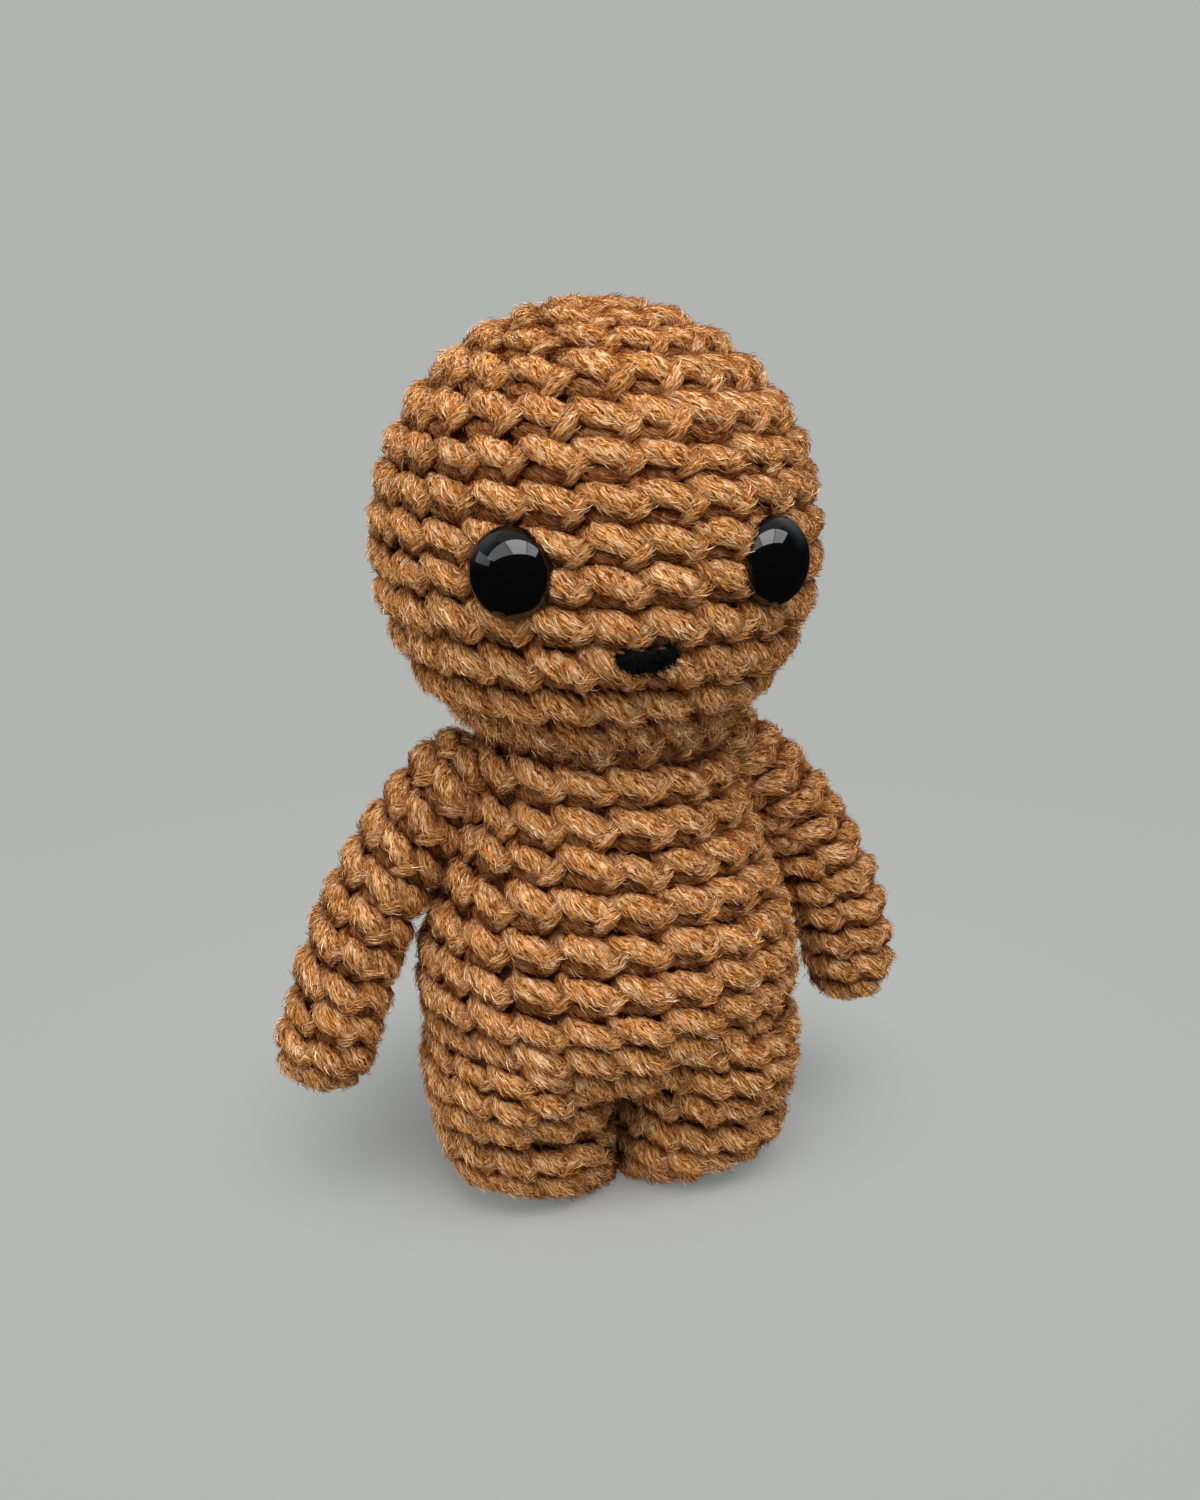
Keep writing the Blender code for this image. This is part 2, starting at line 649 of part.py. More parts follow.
def make_body_pieces():
    hollows = {s: cutter(skin("leg_hollow_" + s, leg_rings(s, -FABRIC), LIMB_SIDES)) for s in SIDES}
    clearance = cutter(skin("torso_clearance", torso_outline(GAP), BODY_SIDES))
    torso_hollow = cutter(skin("torso_hollow", torso_outline(-FABRIC), BODY_SIDES))
    make_torso(list(hollows.values()), [arm_seat(side) for side in SIDES])
    for side, hollow in hollows.items():
        make_leg(side, hollow, clearance, torso_hollow)


def main():
    clear_scene()
    make_body_pieces()
    hang(make_neck(), axis_empty("head_turn_axis", (0, 0, NECK_BASE_HEIGHT)))
    make_head_pieces(axis_empty("head_nod_axis", (0, 0, NECK_PIVOT_HEIGHT)))
    for side in SIDES:
        make_arm(side)
        make_arm_seam(side)


main()
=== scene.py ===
"""Looks of the crocheted doll: every stitch in yarn, glossy safety eyes, stuffing, floor and light.

The doll faces -Y, its own left side is +X and +Z is up. Lengths are metres.
"""

from math import acos, asin, atan2, cos, hypot, pi, radians, sin, sqrt

import bmesh
import bpy
import numpy as np
from mathutils import Matrix, Vector, noise


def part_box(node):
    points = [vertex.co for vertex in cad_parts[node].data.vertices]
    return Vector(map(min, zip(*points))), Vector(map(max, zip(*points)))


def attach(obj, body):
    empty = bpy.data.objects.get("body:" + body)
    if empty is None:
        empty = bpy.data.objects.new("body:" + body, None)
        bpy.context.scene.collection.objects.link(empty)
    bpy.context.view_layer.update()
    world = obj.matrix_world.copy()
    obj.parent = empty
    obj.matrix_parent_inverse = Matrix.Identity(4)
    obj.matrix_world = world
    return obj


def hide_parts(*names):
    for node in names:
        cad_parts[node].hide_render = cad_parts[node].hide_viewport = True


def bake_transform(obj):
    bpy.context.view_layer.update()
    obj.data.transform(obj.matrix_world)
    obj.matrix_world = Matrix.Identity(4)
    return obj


bl_info = {
    "name": "Crocheted doll",
    "version": (1, 0, 0),
    "blender": (4, 5, 0),
    "location": "3D View > Sidebar > Doll",
    "description": "Crochets the doll round by round on its construction model",
    "category": "Add Mesh",
}

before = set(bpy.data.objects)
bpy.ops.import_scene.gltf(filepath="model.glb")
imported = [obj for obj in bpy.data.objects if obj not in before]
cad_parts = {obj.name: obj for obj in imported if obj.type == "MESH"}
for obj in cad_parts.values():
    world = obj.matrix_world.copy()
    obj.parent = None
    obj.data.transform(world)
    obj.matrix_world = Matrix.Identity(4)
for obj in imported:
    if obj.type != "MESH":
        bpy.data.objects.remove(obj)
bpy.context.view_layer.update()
MM = 0.001
SIDES = {"left": 1, "right": -1}


# The doll's sizes, as in its construction
GAP = 0.3 * MM
FABRIC = 3.2 * MM
ARM_FABRIC = 2.6 * MM
HEAD_RADIUS = 26.5 * MM
HEAD_HALF_HEIGHT = 27.2 * MM
HEAD_RIM_RADIUS = 18.8 * MM
NECK_RADIUS = 15.9 * MM
NECK_RISE = 5.4 * MM
NECK_BASE_HEIGHT = 58.2 * MM
NECK_BASE_SLOPE_SHARE = -0.1
BELLY_HEIGHT = 28.4 * MM
BELLY_HALF_WIDTH = 24.2 * MM
BELLY_HALF_DEPTH = 19.5 * MM
CROTCH_HEIGHT = 13.5 * MM
LEG_RADIUS = 11.4 * MM
LEG_HALF_DEPTH = 12.2 * MM
THIGH_RADIUS = 12.1 * MM
THIGH_HALF_DEPTH = 16.0 * MM
THIGH_HEIGHT = 19.0 * MM
SOLE_HALF_HEIGHT = 8.0 * MM
SOLE_FLAT_DEPTH = 0.5 * MM
SHOULDER_DROP = 5.2 * MM
SHOULDER_AZIMUTH = {"left": radians(16), "right": radians(2)}
SHOULDER_TILT = radians(15)
ROOT_PRESS = 0.6 * MM
ARM_BEND_OUT = 13.6 * MM
ARM_BEND_DROP = 12.9 * MM
HAND_OUT = 14.4 * MM
HAND_DROP = 29.8 * MM
ARM_ROOT_RADIUS = 4.5 * MM
ARM_MIDDLE_RADIUS = 5.5 * MM
HAND_RADIUS = 6.3 * MM
ARM_FORWARD = radians(5.6)
SEAM_YARN_RADIUS = 0.8 * MM
SEAM_CLEARANCE = 1.0 * MM
SEAM_HALF_TURN = radians(75)
SEAM_STITCH_RADIUS = 0.65 * MM
EYE_RADIUS = 5.0 * MM
EYE_DOME_HEIGHT = 4.2 * MM
EYE_RIM = 0.5 * MM
EYE_SINK = 1.4 * MM
EYE_AZIMUTH = radians(33.5)
EYE_LATITUDE = radians(-1.2)
# The domes sit a little askew on the yarn: how far round and up from their cores' places
EYE_ASKEW = {"left": (radians(1.6), radians(-1.1)), "right": (radians(1.1), 0.0)}
SHANK_RADIUS = 1.5 * MM
SHANK_LENGTH = 10.0 * MM
SHANK_TIP = 1.2 * MM
RIB_DEPTH = 0.25 * MM
RIB_PITCH = 1.4 * MM
RIB_COUNT = 4
MOUTH_HALF_WIDTH = 3.1 * MM
MOUTH_LATITUDE = radians(-22.5)
MOUTH_YARN_RADIUS = 1.0 * MM
MOUTH_TAIL = 4.6 * MM
CROWN_RING_RADIUS = 2.4 * MM

# The crocheted arms hang nearer to the body than their cores. In the arm's own frame: how far in and up
# their top is sewn on, the bend's and the hand's way out and down, and the radii at top, middle and hand
ARM_SHAPES = {
    "left": [x * MM for x in (3.0, 1.5, 12.4, 12.2, 14.4, 29.9, 5.9, 7.0, 6.2)],
    "right": [x * MM for x in (2.6, 1.5, 8.2, 8.0, 14.6, 29.6, 5.9, 6.0, 6.3)],
}

NECK_RIM_HEIGHT = NECK_BASE_HEIGHT + NECK_RISE
NECK_RIM_DROP = HEAD_HALF_HEIGHT * sqrt(1 - (HEAD_RIM_RADIUS / HEAD_RADIUS) ** 2)
HEAD_CENTRE_HEIGHT = NECK_RIM_HEIGHT + NECK_RIM_DROP
HEAD_TOP_HEIGHT = HEAD_CENTRE_HEIGHT + HEAD_HALF_HEIGHT
SHOULDER_HEIGHT = NECK_BASE_HEIGHT - SHOULDER_DROP
SOLE_CENTRE_HEIGHT = SOLE_HALF_HEIGHT - SOLE_FLAT_DEPTH

# Rounds of the crochet. Edges are measured down the front of each form, from the crown or from the
# middle of a sole or hand, and each round holds that many stitches. A spiral drops one round a turn.
# A spiral starts this far round from the front.
HEAD_START = radians(-1)
TORSO_START = radians(-8.5)
LIMB_START = radians(-20)
CROWN_ARCS = [x * MM for x in (0.4, 2.6, 7.4, 12.5, 17.5, 23.2, 28.7, 33.3, 37.9, 42.3, 46.9, 52.1, 58.0, 63.6, 69.0)]
CROWN_COUNTS = (5, 6, 12, 17, 21, 24, 25, 25, 25, 25, 25, 24, 21, 19)
NECK_HEIGHTS = [x * MM for x in (73.0, 68.3, 63.5, 58.2, 53.6)]
NECK_COUNTS = (17, 17, 17, 16)
TORSO_HEIGHTS = [x * MM for x in (68.0, 63.0, 58.2, 53.7, 49.2, 44.6, 39.5, 34.5, 29.7, 25.0, 20.2, 15.6)]
TORSO_COUNTS = (15, 15, 16, 17, 19, 20, 22, 23, 23, 22, 20)
LEG_ARCS = [x * MM for x in (0.3, 2.2, 6.6, 11.0, 15.6, 20.4, 25.2, 29.6, 33.8)]
LEG_COUNTS = (4, 6, 11, 12, 13, 13, 14, 14)
ARM_ARCS = [x * MM for x in (0.3, 1.8, 6.1, 10.4, 14.7, 19.2, 23.7, 28.2, 32.7, 37.2, 41.7, 46.0, 50.3, 54.6)]
ARM_COUNTS = (3, 6, 7, 7, 7, 7, 7, 6, 6, 6, 6, 6, 5)

# One stitch, drawn in its own cell: across 0 to 1, up the round 0 to 1, then millimetres above the
# surface and the strand's radius in millimetres
LONG_STRAND = (
    (-0.06, 1.00, -3.2, 0.9),
    (0.02, 0.87, -1.8, 1.25),
    (0.18, 0.76, -1.35, 1.45),
    (0.40, 0.68, -1.15, 1.55),
    (0.64, 0.59, -1.15, 1.55),
    (0.88, 0.50, -1.35, 1.4),
    (1.08, 0.40, -2.4, 1.1),
)
SHORT_STRAND = (
    (0.69, -0.02, -3.0, 0.9),
    (0.77, 0.11, -1.8, 1.1),
    (0.87, 0.27, -1.15, 1.2),
    (0.97, 0.45, -1.05, 1.2),
    (1.04, 0.64, -1.45, 1.1),
    (1.09, 0.83, -2.4, 0.9),
)
UNDER_STRAND = (
    (-0.04, 0.33, -3.0, 0.9),
    (0.10, 0.26, -2.4, 1.2),
    (0.30, 0.21, -2.3, 1.3),
    (0.50, 0.19, -2.3, 1.3),
    (0.68, 0.17, -2.4, 1.2),
    (0.82, 0.15, -3.0, 0.8),
)
PLY_RADIUS_SHARE = 0.68
USUAL_ROW = 4.7 * MM
STRAND_STEPS = {"long": 13, "short": 8, "under": 7}


def linear(code):
    """A colour written as sRGB hex, as the linear values that shaders take."""
    channels = [int(code[i : i + 2], 16) / 255 for i in (1, 3, 5)]
    return [c / 12.92 if c <= 0.04045 else ((c + 0.055) / 1.055) ** 2.4 for c in channels]


def add(tree, kind, links=None, **settings):
    """Adds a node with its settings, and its inputs as values or as sockets to link."""
    node = tree.nodes.new(kind)
    for name, value in settings.items():
        setattr(node, name, value)
    for name, value in (links or {}).items():
        if isinstance(value, bpy.types.NodeSocket):
            tree.links.new(value, node.inputs[name])
        else:
            node.inputs[name].default_value = value
    return node


# Settings a user would change


class YarnSettings(bpy.types.PropertyGroup):
    """The yarn and how it is crocheted."""

    colour: bpy.props.FloatVectorProperty(
        name="Yarn", description="Colour of the dyed acrylic", subtype="COLOR", default=linear("#E29A4E")
    )
    # the shadow and light colours paint the shade between fibres and the highlights on fibres into the yarn's colour
    shadow_colour: bpy.props.FloatVectorProperty(
        name="Shade between fibres", description="Colour deep between the fibres", subtype="COLOR",
        default=linear("#702F04"),
    )
    light_colour: bpy.props.FloatVectorProperty(
        name="Fibre highlights", description="Colour of fibres that catch the light", subtype="COLOR",
        default=linear("#FFE1B8"),
    )
    plies: bpy.props.IntProperty(name="Plies", description="Plies twisted in one yarn", default=4, min=2, max=6)
    lay: bpy.props.FloatProperty(
        name="Lay", description="Length in which the plies turn once", unit="LENGTH", default=14 * MM
    )
    unevenness: bpy.props.FloatProperty(
        name="Unevenness", description="How far a strand wanders from its place", unit="LENGTH", default=0.3 * MM
    )
    fibre_length: bpy.props.FloatProperty(
        name="Fibre length", description="Length of a loose fibre", unit="LENGTH", default=1.4 * MM
    )
    fibre_radius: bpy.props.FloatProperty(
        name="Fibre radius", description="Half the thickness of a tuft of fibres", unit="LENGTH", default=0.052 * MM
    )
    fibre_density: bpy.props.FloatProperty(
        name="Fibres", description="Fibre highlights on a square millimetre of yarn", default=7.0, min=0
    )


class EyeSettings(bpy.types.PropertyGroup):
    """The safety eyes."""

    colour: bpy.props.FloatVectorProperty(
        name="Plastic", description="Colour of the moulded eye", subtype="COLOR", default=linear("#060607")
    )
    roughness: bpy.props.FloatProperty(
        name="Roughness", description="How dull the polished dome is", subtype="FACTOR", default=0.05, min=0, max=1
    )


class StageSettings(bpy.types.PropertyGroup):
    """Floor, backdrop and light."""

    floor_colour: bpy.props.FloatVectorProperty(
        name="Floor", description="Colour of the paper sweep near the doll", subtype="COLOR",
        default=linear("#B7B9B6"),
    )
    backdrop_colour: bpy.props.FloatVectorProperty(
        name="Backdrop", description="Colour of the sweep far behind the doll", subtype="COLOR",
        default=linear("#B2B4B1"),
    )
    key_power: bpy.props.FloatProperty(
        name="Key light", description="Power of the soft box overhead", unit="POWER", default=6.05
    )
    fill_power: bpy.props.FloatProperty(
        name="Fill light", description="Power of the soft box in front", unit="POWER", default=0.8
    )
    window_power: bpy.props.FloatProperty(
        name="Window", description="Power of the dim window at the left", unit="POWER", default=1.1
    )
    room_light: bpy.props.FloatProperty(
        name="Room light", description="Strength of the light from all round", default=0.42, min=0
    )


# Forms that the crochet lies on


class Form:
    """A closed surface through rings: each has a centre and two half-axes, across and forward."""

    def __init__(self, centres, across, forward):
        self.centres = np.array(centres, float)
        self.across = np.array(across, float)
        self.forward = np.array(forward, float)
        mean = (np.linalg.norm(self.across, axis=1) + np.linalg.norm(self.forward, axis=1)) / 2
        runs = np.linalg.norm(np.diff(self.centres, axis=0), axis=1)
        self.arcs = np.concatenate([[0], np.hypot(runs, np.diff(mean)).cumsum()])
        self.shares = self.arcs / self.arcs[-1]

    def share_at_arc(self, arc):
        return np.interp(arc, self.arcs, self.shares)

    def share_at_height(self, height):
        heights = self.centres[:, 2]
        step = 1 if heights[-1] > heights[0] else -1
        return np.interp(height, heights[::step], self.shares[::step])

    def point(self, turn, share):
        """Points at this part of a full turn from the front and this share of the way along."""
        parts = []
        for values in (self.centres, self.across, self.forward):
            parts.append(np.stack([np.interp(share, self.shares, values[:, k]) for k in range(3)], -1))
        angle = 2 * pi * np.asarray(turn)[..., None]
        return parts[0] + parts[1] * np.sin(angle) + parts[2] * np.cos(angle)

    def object(self, name, columns=96):
        """The form as a mesh with a map: round the form, then along it."""
        turns = np.linspace(0, 1, columns + 1)
        count = len(self.shares)
        points = self.point(np.tile(turns[:-1], count), np.repeat(self.shares, columns))
        faces = []
        corners = []
        step = 1 if self.centres[0, 2] < self.centres[-1, 2] else -1
        for i in range(count - 1):
            near, far = self.shares[i], self.shares[i + 1]
            for j in range(columns):
                k = (j + 1) % columns
                face = (i * columns + j, i * columns + k, (i + 1) * columns + k, (i + 1) * columns + j)
                corner = ((turns[j], near), (turns[j + 1], near), (turns[j + 1], far), (turns[j], far))
                faces.append(face[::step])
                corners += corner[::step]
        mesh = bpy.data.meshes.new(name)
        mesh.from_pydata(points.tolist(), [], faces)
        mesh.uv_layers.new(name="rounds").data.foreach_set("uv", np.array(corners, np.float32).ravel())
        mesh.shade_smooth()
        return helper_object(name, mesh)


def helper_object(name, data):
    """An object that only the node trees read."""
    made = bpy.data.objects.new(name, data)
    bpy.context.scene.collection.objects.link(made)
    made.hide_render = True
    return made


def level_form(heights, widths, depths, middles=None):
    """A form of level rings."""
    zeros = np.zeros(len(heights))
    middles = zeros if middles is None else middles
    return Form(
        np.stack([middles, zeros, heights], -1),
        np.stack([widths, zeros, zeros], -1),
        np.stack([zeros, -np.asarray(depths), zeros], -1),
    )


def head_form():
    turns = np.linspace(pi / 2, -radians(62), 60)
    widths = HEAD_RADIUS * np.cos(turns)
    return level_form(HEAD_CENTRE_HEIGHT + HEAD_HALF_HEIGHT * np.sin(turns), widths, widths)


def neck_form():
    """The hollow between torso and head: the head's ball drawn in a little, then upright."""
    heights = np.linspace(NECK_BASE_HEIGHT - 5 * MM, NECK_RIM_HEIGHT + 5 * MM, 36)
    drop = np.clip((HEAD_CENTRE_HEIGHT - heights) / HEAD_HALF_HEIGHT, 0, 1)
    radii = np.maximum(HEAD_RADIUS * np.sqrt(1 - drop**2) - 0.8 * MM, NECK_RADIUS - 0.9 * MM)
    return level_form(heights[::-1], radii[::-1], radii[::-1])


def torso_halves(height):
    """The torso's half-width and half-depth at this height."""
    if height < BELLY_HEIGHT:
        share = sqrt(max(0, 1 - ((BELLY_HEIGHT - height) / (BELLY_HEIGHT - CROTCH_HEIGHT)) ** 2))
        return BELLY_HALF_WIDTH * share, BELLY_HALF_DEPTH * share
    rise = NECK_BASE_HEIGHT - BELLY_HEIGHT
    t = min((height - BELLY_HEIGHT) / rise, 1.0)
    upper = t * t * (3 - 2 * t)
    flare = t * t * (t - 1) * rise * NECK_BASE_SLOPE_SHARE
    width = BELLY_HALF_WIDTH + (NECK_RADIUS - BELLY_HALF_WIDTH) * upper + flare
    depth = BELLY_HALF_DEPTH + (NECK_RADIUS - BELLY_HALF_DEPTH) * upper + flare
    return width, depth


def torso_form():
    heights = list(np.linspace(NECK_BASE_HEIGHT + 8 * MM, BELLY_HEIGHT, 40))
    turns = np.linspace(0, -pi / 2, 24)[1:]
    heights += list(BELLY_HEIGHT + (BELLY_HEIGHT - CROTCH_HEIGHT) * np.sin(turns))
    halves = np.array([torso_halves(height) for height in heights])
    return level_form(np.array(heights), halves[:, 0], halves[:, 1])


def leg_form(side):
    """From the middle of the sole up to where the leg has become half of the torso."""
    sign = SIDES[side]
    lowest = -asin(SOLE_CENTRE_HEIGHT / SOLE_HALF_HEIGHT)
    rim = cos(lowest)
    rings = [(0, LEG_RADIUS * s, LEG_HALF_DEPTH * s) for s in np.linspace(0, rim, 6)]
    for turn in np.linspace(lowest, 0, 12)[1:]:
        height = SOLE_CENTRE_HEIGHT + SOLE_HALF_HEIGHT * sin(turn)
        rings.append((height, LEG_RADIUS * cos(turn), LEG_HALF_DEPTH * cos(turn)))
    for t in np.linspace(0, 1, 10)[1:]:
        widening = t * t * (3 - 2 * t)
        height = SOLE_CENTRE_HEIGHT + (THIGH_HEIGHT - SOLE_CENTRE_HEIGHT) * t
        width = LEG_RADIUS + (THIGH_RADIUS - LEG_RADIUS) * widening
        rings.append((height, width, LEG_HALF_DEPTH + (THIGH_HALF_DEPTH - LEG_HALF_DEPTH) * widening))
    for t in np.linspace(0, 1, 10)[1:]:
        height = THIGH_HEIGHT + (BELLY_HEIGHT - THIGH_HEIGHT) * t
        rings.append((height, THIGH_RADIUS - 0.6 * MM * t, THIGH_HALF_DEPTH))
    heights, widths, depths = np.array(rings).T
    return level_form(heights, widths, depths, sign * (np.maximum(widths, LEG_RADIUS * rim) + GAP / 2))


def shoulder(side):
    """The middle of the arm's round root, which presses a little into the torso's flank."""
    azimuth = SHOULDER_AZIMUTH[side]
    width, depth = torso_halves(SHOULDER_HEIGHT)
    flank = 1 / hypot(cos(azimuth) / width, sin(azimuth) / depth)
    out = flank + ARM_ROOT_RADIUS - ROOT_PRESS
    return Vector((SIDES[side] * cos(azimuth) * out, sin(azimuth) * out, SHOULDER_HEIGHT))


def arm_place(side):
    turn = Matrix.Rotation(SIDES[side] * SHOULDER_AZIMUTH[side], 4, "Z")
    return Matrix.Translation(shoulder(side)) @ turn @ Matrix.Rotation(-ARM_FORWARD, 4, "X")


def bent(start, bend, end, t):
    """A value or point on the way from start to end, drawn towards bend."""
    return start * (1 - t) ** 2 + bend * (2 * t * (1 - t)) + end * t**2


def arm_form(side):
    """From the tip of the hand up to the root at the shoulder."""
    sign = SIDES[side]
    place = arm_place(side)
    top_in, top_rise, bend_out, bend_drop, hand_out, hand_drop, top_radius, radius, hand_radius = ARM_SHAPES[side]
    root = Vector((-sign * top_in, 0, top_rise))
    bend = Vector((sign * bend_out, 0, -bend_drop))
    hand = Vector((sign * hand_out, 0, -hand_drop))
    front = Vector((0, -1, 0))
    rings = []
    root_way = (bend - root).normalized()
    hand_way = (hand - bend).normalized()
    for turn in np.linspace(pi / 2, 0, 9):
        rings.append((hand + hand_way * hand_radius * sin(turn), hand_way, hand_radius * cos(turn)))
    for t in np.linspace(1, 0, 26)[1:]:
        way = ((bend - root) * (1 - t) + (hand - bend) * t).normalized()
        rings.append((bent(root, bend, hand, t), way, bent(top_radius, radius, hand_radius, t)))
    for turn in np.linspace(0, pi / 2, 9)[1:]:
        rings.append((root - root_way * top_radius * sin(turn), root_way, top_radius * cos(turn)))
    spin = place.to_3x3()
    centres = [place @ centre for centre, way, radius in rings]
    forward = [spin @ front * radius for centre, way, radius in rings]
    across = [spin @ front.cross(way) * radius for centre, way, radius in rings]
    return Form(centres, across, forward)


# Stitches


def smooth_path(knots, steps):
    """That many points on a smooth curve through the knots, each a list of numbers."""
    knots = np.array(knots, float)
    padded = np.vstack([2 * knots[0] - knots[1], knots, 2 * knots[-1] - knots[-2]])
    path = []
    for place in np.linspace(0, len(knots) - 1, steps):
        i = min(int(place), len(knots) - 2)
        t = place - i
        a, b, c, d = padded[i : i + 4]
        path.append(b + (c - a) * t / 2 + (2 * a - 5 * b + 4 * c - d) * t**2 / 2 + (3 * b - a - 3 * c + d) * t**3 / 2)
    return np.array(path)


def stitch_object():
    """The strands of one stitch as a curve, in the coordinates of its cell."""
    curve = bpy.data.curves.new("stitch_strands", "CURVE")
    curve.dimensions = "3D"
    strands = ((LONG_STRAND, "long"), (SHORT_STRAND, "short"), (UNDER_STRAND, "under"))
    for knots, name in strands:
        path = smooth_path(knots, STRAND_STEPS[name])
        spline = curve.splines.new("POLY")
        spline.points.add(len(path) - 1)
        for point, (across, up, lift, radius) in zip(spline.points, path):
            point.co = (across, up, lift, 1)
            point.radius = radius
    return helper_object("stitch_strands", curve)


def ply_section(plies, points_per_ply=4):
    """The outline of a bundle of round plies that press into each other, with a radius of 1 outside."""
    ply_radius = PLY_RADIUS_SHARE
    out = 1 - ply_radius
    curve = bpy.data.curves.new("ply_section", "CURVE")
    curve.dimensions = "3D"
    spline = curve.splines.new("POLY")
    spline.use_cyclic_u = True
    count = plies * points_per_ply
    spline.points.add(count - 1)
    for i, point in enumerate(spline.points):
        angle = 2 * pi * i / count
        off = (angle + pi / plies) % (2 * pi / plies) - pi / plies
        reach = out * cos(off) + sqrt(max(ply_radius**2 - (out * sin(off)) ** 2, 0))
        point.co = (reach * cos(angle), reach * sin(angle), 0, 1)
    return helper_object("ply_section", curve)


def fibre_object():
    """One loose fibre: a thin ribbon of unit length along Z that bows towards X and twists on its way."""
    mesh = bpy.data.meshes.new("loose_fibre")
    points, sides = [], []
    for share, turn, width in ((0.0, 0.0, 1.0), (0.5, radians(55), 0.8)):
        for way in (-1, 1):
            points.append((0.12 * sin(pi * share), 0, share))
            sides.append((way * width * sin(turn), way * width * cos(turn), 0))
    points.append((0, 0, 1))
    sides.append((0, 0, 0))
    mesh.from_pydata(points, [], [(0, 1, 3, 2), (2, 3, 4)])
    side = mesh.attributes.new("side", "FLOAT_VECTOR", "POINT")
    side.data.foreach_set("vector", np.array(sides, np.float32).ravel())
    mesh.shade_smooth()
    return helper_object("loose_fibre", mesh)


def stitch_cells(name, form, start, edges, counts, keep, seed):
    """One vertex for each stitch of a spiral of rounds, with its cell on the form's map.

    edges are shares along the form at the spiral's start, and keep says by its middle if a stitch is
    made."""
    random = np.random.default_rng(seed)
    edges = np.array(edges, float)
    span = form.arcs[-1]
    rows = np.arange(len(edges))
    start /= 2 * pi
    corner, along, rise, shade, size = [], [], [], [], []
    place = 0.0
    upright = 1 if form.centres[0, 2] > form.centres[-1, 2] else -1
    while place < len(counts) - 0.001:
        width = 1 / counts[int(place + 0.001)]
        first, last = np.interp([place, place + 1], rows, edges)
        next_first, next_last = np.interp([place + width, place + width + 1], rows, edges)
        turn = start + place
        if upright > 0:
            cell = ((turn, last), (width, next_last - last), (0, first - last))
        else:
            cell = ((-turn - width, next_first), (width, first - next_first), (0, next_last - next_first))
        cell = np.array(cell)
        middle = cell[0] + (cell[1] + cell[2]) / 2
        if keep(middle):
            jolt = random.normal(0, 1, 4)
            cell[0] += cell[1] * jolt[0] * 0.035 + cell[2] * jolt[1] * 0.035
            cell[2] *= 1 + 0.05 * jolt[2]
            corner.append(cell[0])
            along.append(cell[1])
            rise.append(cell[2])
            shade.append(jolt[3])
            size.append((abs(cell[2][1]) * span / USUAL_ROW) ** 0.6)
        place += width
    mesh = bpy.data.meshes.new(name)
    mesh.from_pydata([(0, 0, 0)] * len(corner), [], [])
    for key, values in (("corner", corner), ("along", along), ("rise", rise)):
        flat = np.array([(*value, 0) for value in values], np.float32)
        mesh.attributes.new(key, "FLOAT_VECTOR", "POINT").data.foreach_set("vector", flat.ravel())
    for key, values in (("shade", shade), ("size", size)):
        mesh.attributes.new(key, "FLOAT", "POINT").data.foreach_set("value", np.array(values, np.float32))
    made = bpy.data.objects.new(name, mesh)
    bpy.context.scene.collection.objects.link(made)
    return made


# Node trees


def new_tree(name, inputs):
    """A geometry tree with its named inputs, its group input and its group output."""
    tree = bpy.data.node_groups.new(name, "GeometryNodeTree")
    tree.interface.new_socket("Geometry", in_out="INPUT", socket_type="NodeSocketGeometry")
    tree.interface.new_socket("Geometry", in_out="OUTPUT", socket_type="NodeSocketGeometry")
    for label, kind, value in inputs:
        socket = tree.interface.new_socket(label, in_out="INPUT", socket_type=kind)
        if value is not None:
            socket.default_value = value
    source = tree.nodes.new("NodeGroupInput").outputs
    return tree, source


YARN_INPUTS = (
    ("Section", "NodeSocketObject", None),
    ("Fibre", "NodeSocketObject", None),
    ("Yarn", "NodeSocketMaterial", None),
    ("Lay", "NodeSocketFloat", 19 * MM),
    ("Fibre length", "NodeSocketFloat", 2.3 * MM),
    ("Fibre radius", "NodeSocketFloat", 0.045 * MM),
    ("Fibre density", "NodeSocketFloat", 0.8e6),
    ("Fibre lift", "NodeSocketFloat", 0.3),
    ("Fibre slope", "NodeSocketFloat", 0.5),
    ("Fibre spread", "NodeSocketFloat", 0.5),
    ("Lumps", "NodeSocketFloat", 0.22 * MM),
    ("Flatness", "NodeSocketFloat", 0.2),
    ("Tiles", "NodeSocketFloat", 32.0),
    ("Seed", "NodeSocketInt", 1),
)


def named(tree, name, kind="FLOAT_VECTOR"):
    return add(tree, "GeometryNodeInputNamedAttribute", {"Name": name}, data_type=kind).outputs["Attribute"]


def store(tree, geometry, name, value, kind="FLOAT_VECTOR", domain="POINT"):
    links = {"Geometry": geometry, "Name": name, "Value": value}
    return add(tree, "GeometryNodeStoreNamedAttribute", links, data_type=kind, domain=domain).outputs[0]


def calc(tree, operation, *values):
    """A sum of numbers, or of vectors where the operation's name starts with a V."""
    kind = "ShaderNodeVectorMath" if operation.startswith("V_") else "ShaderNodeMath"
    node = add(tree, kind, operation=operation.removeprefix("V_"))
    for i, value in enumerate(values):
        if isinstance(value, bpy.types.NodeSocket):
            tree.links.new(value, node.inputs[i])
        else:
            node.inputs[i].default_value = value
    return node.outputs[1] if operation in ("V_DOT_PRODUCT", "V_LENGTH") else node.outputs[0]


def scaled(tree, vector, factor):
    """A vector times a number or a socket."""
    node = add(tree, "ShaderNodeVectorMath", {0: vector}, operation="SCALE")
    if isinstance(factor, bpy.types.NodeSocket):
        tree.links.new(factor, node.inputs["Scale"])
    else:
        node.inputs["Scale"].default_value = factor
    return node.outputs[0]


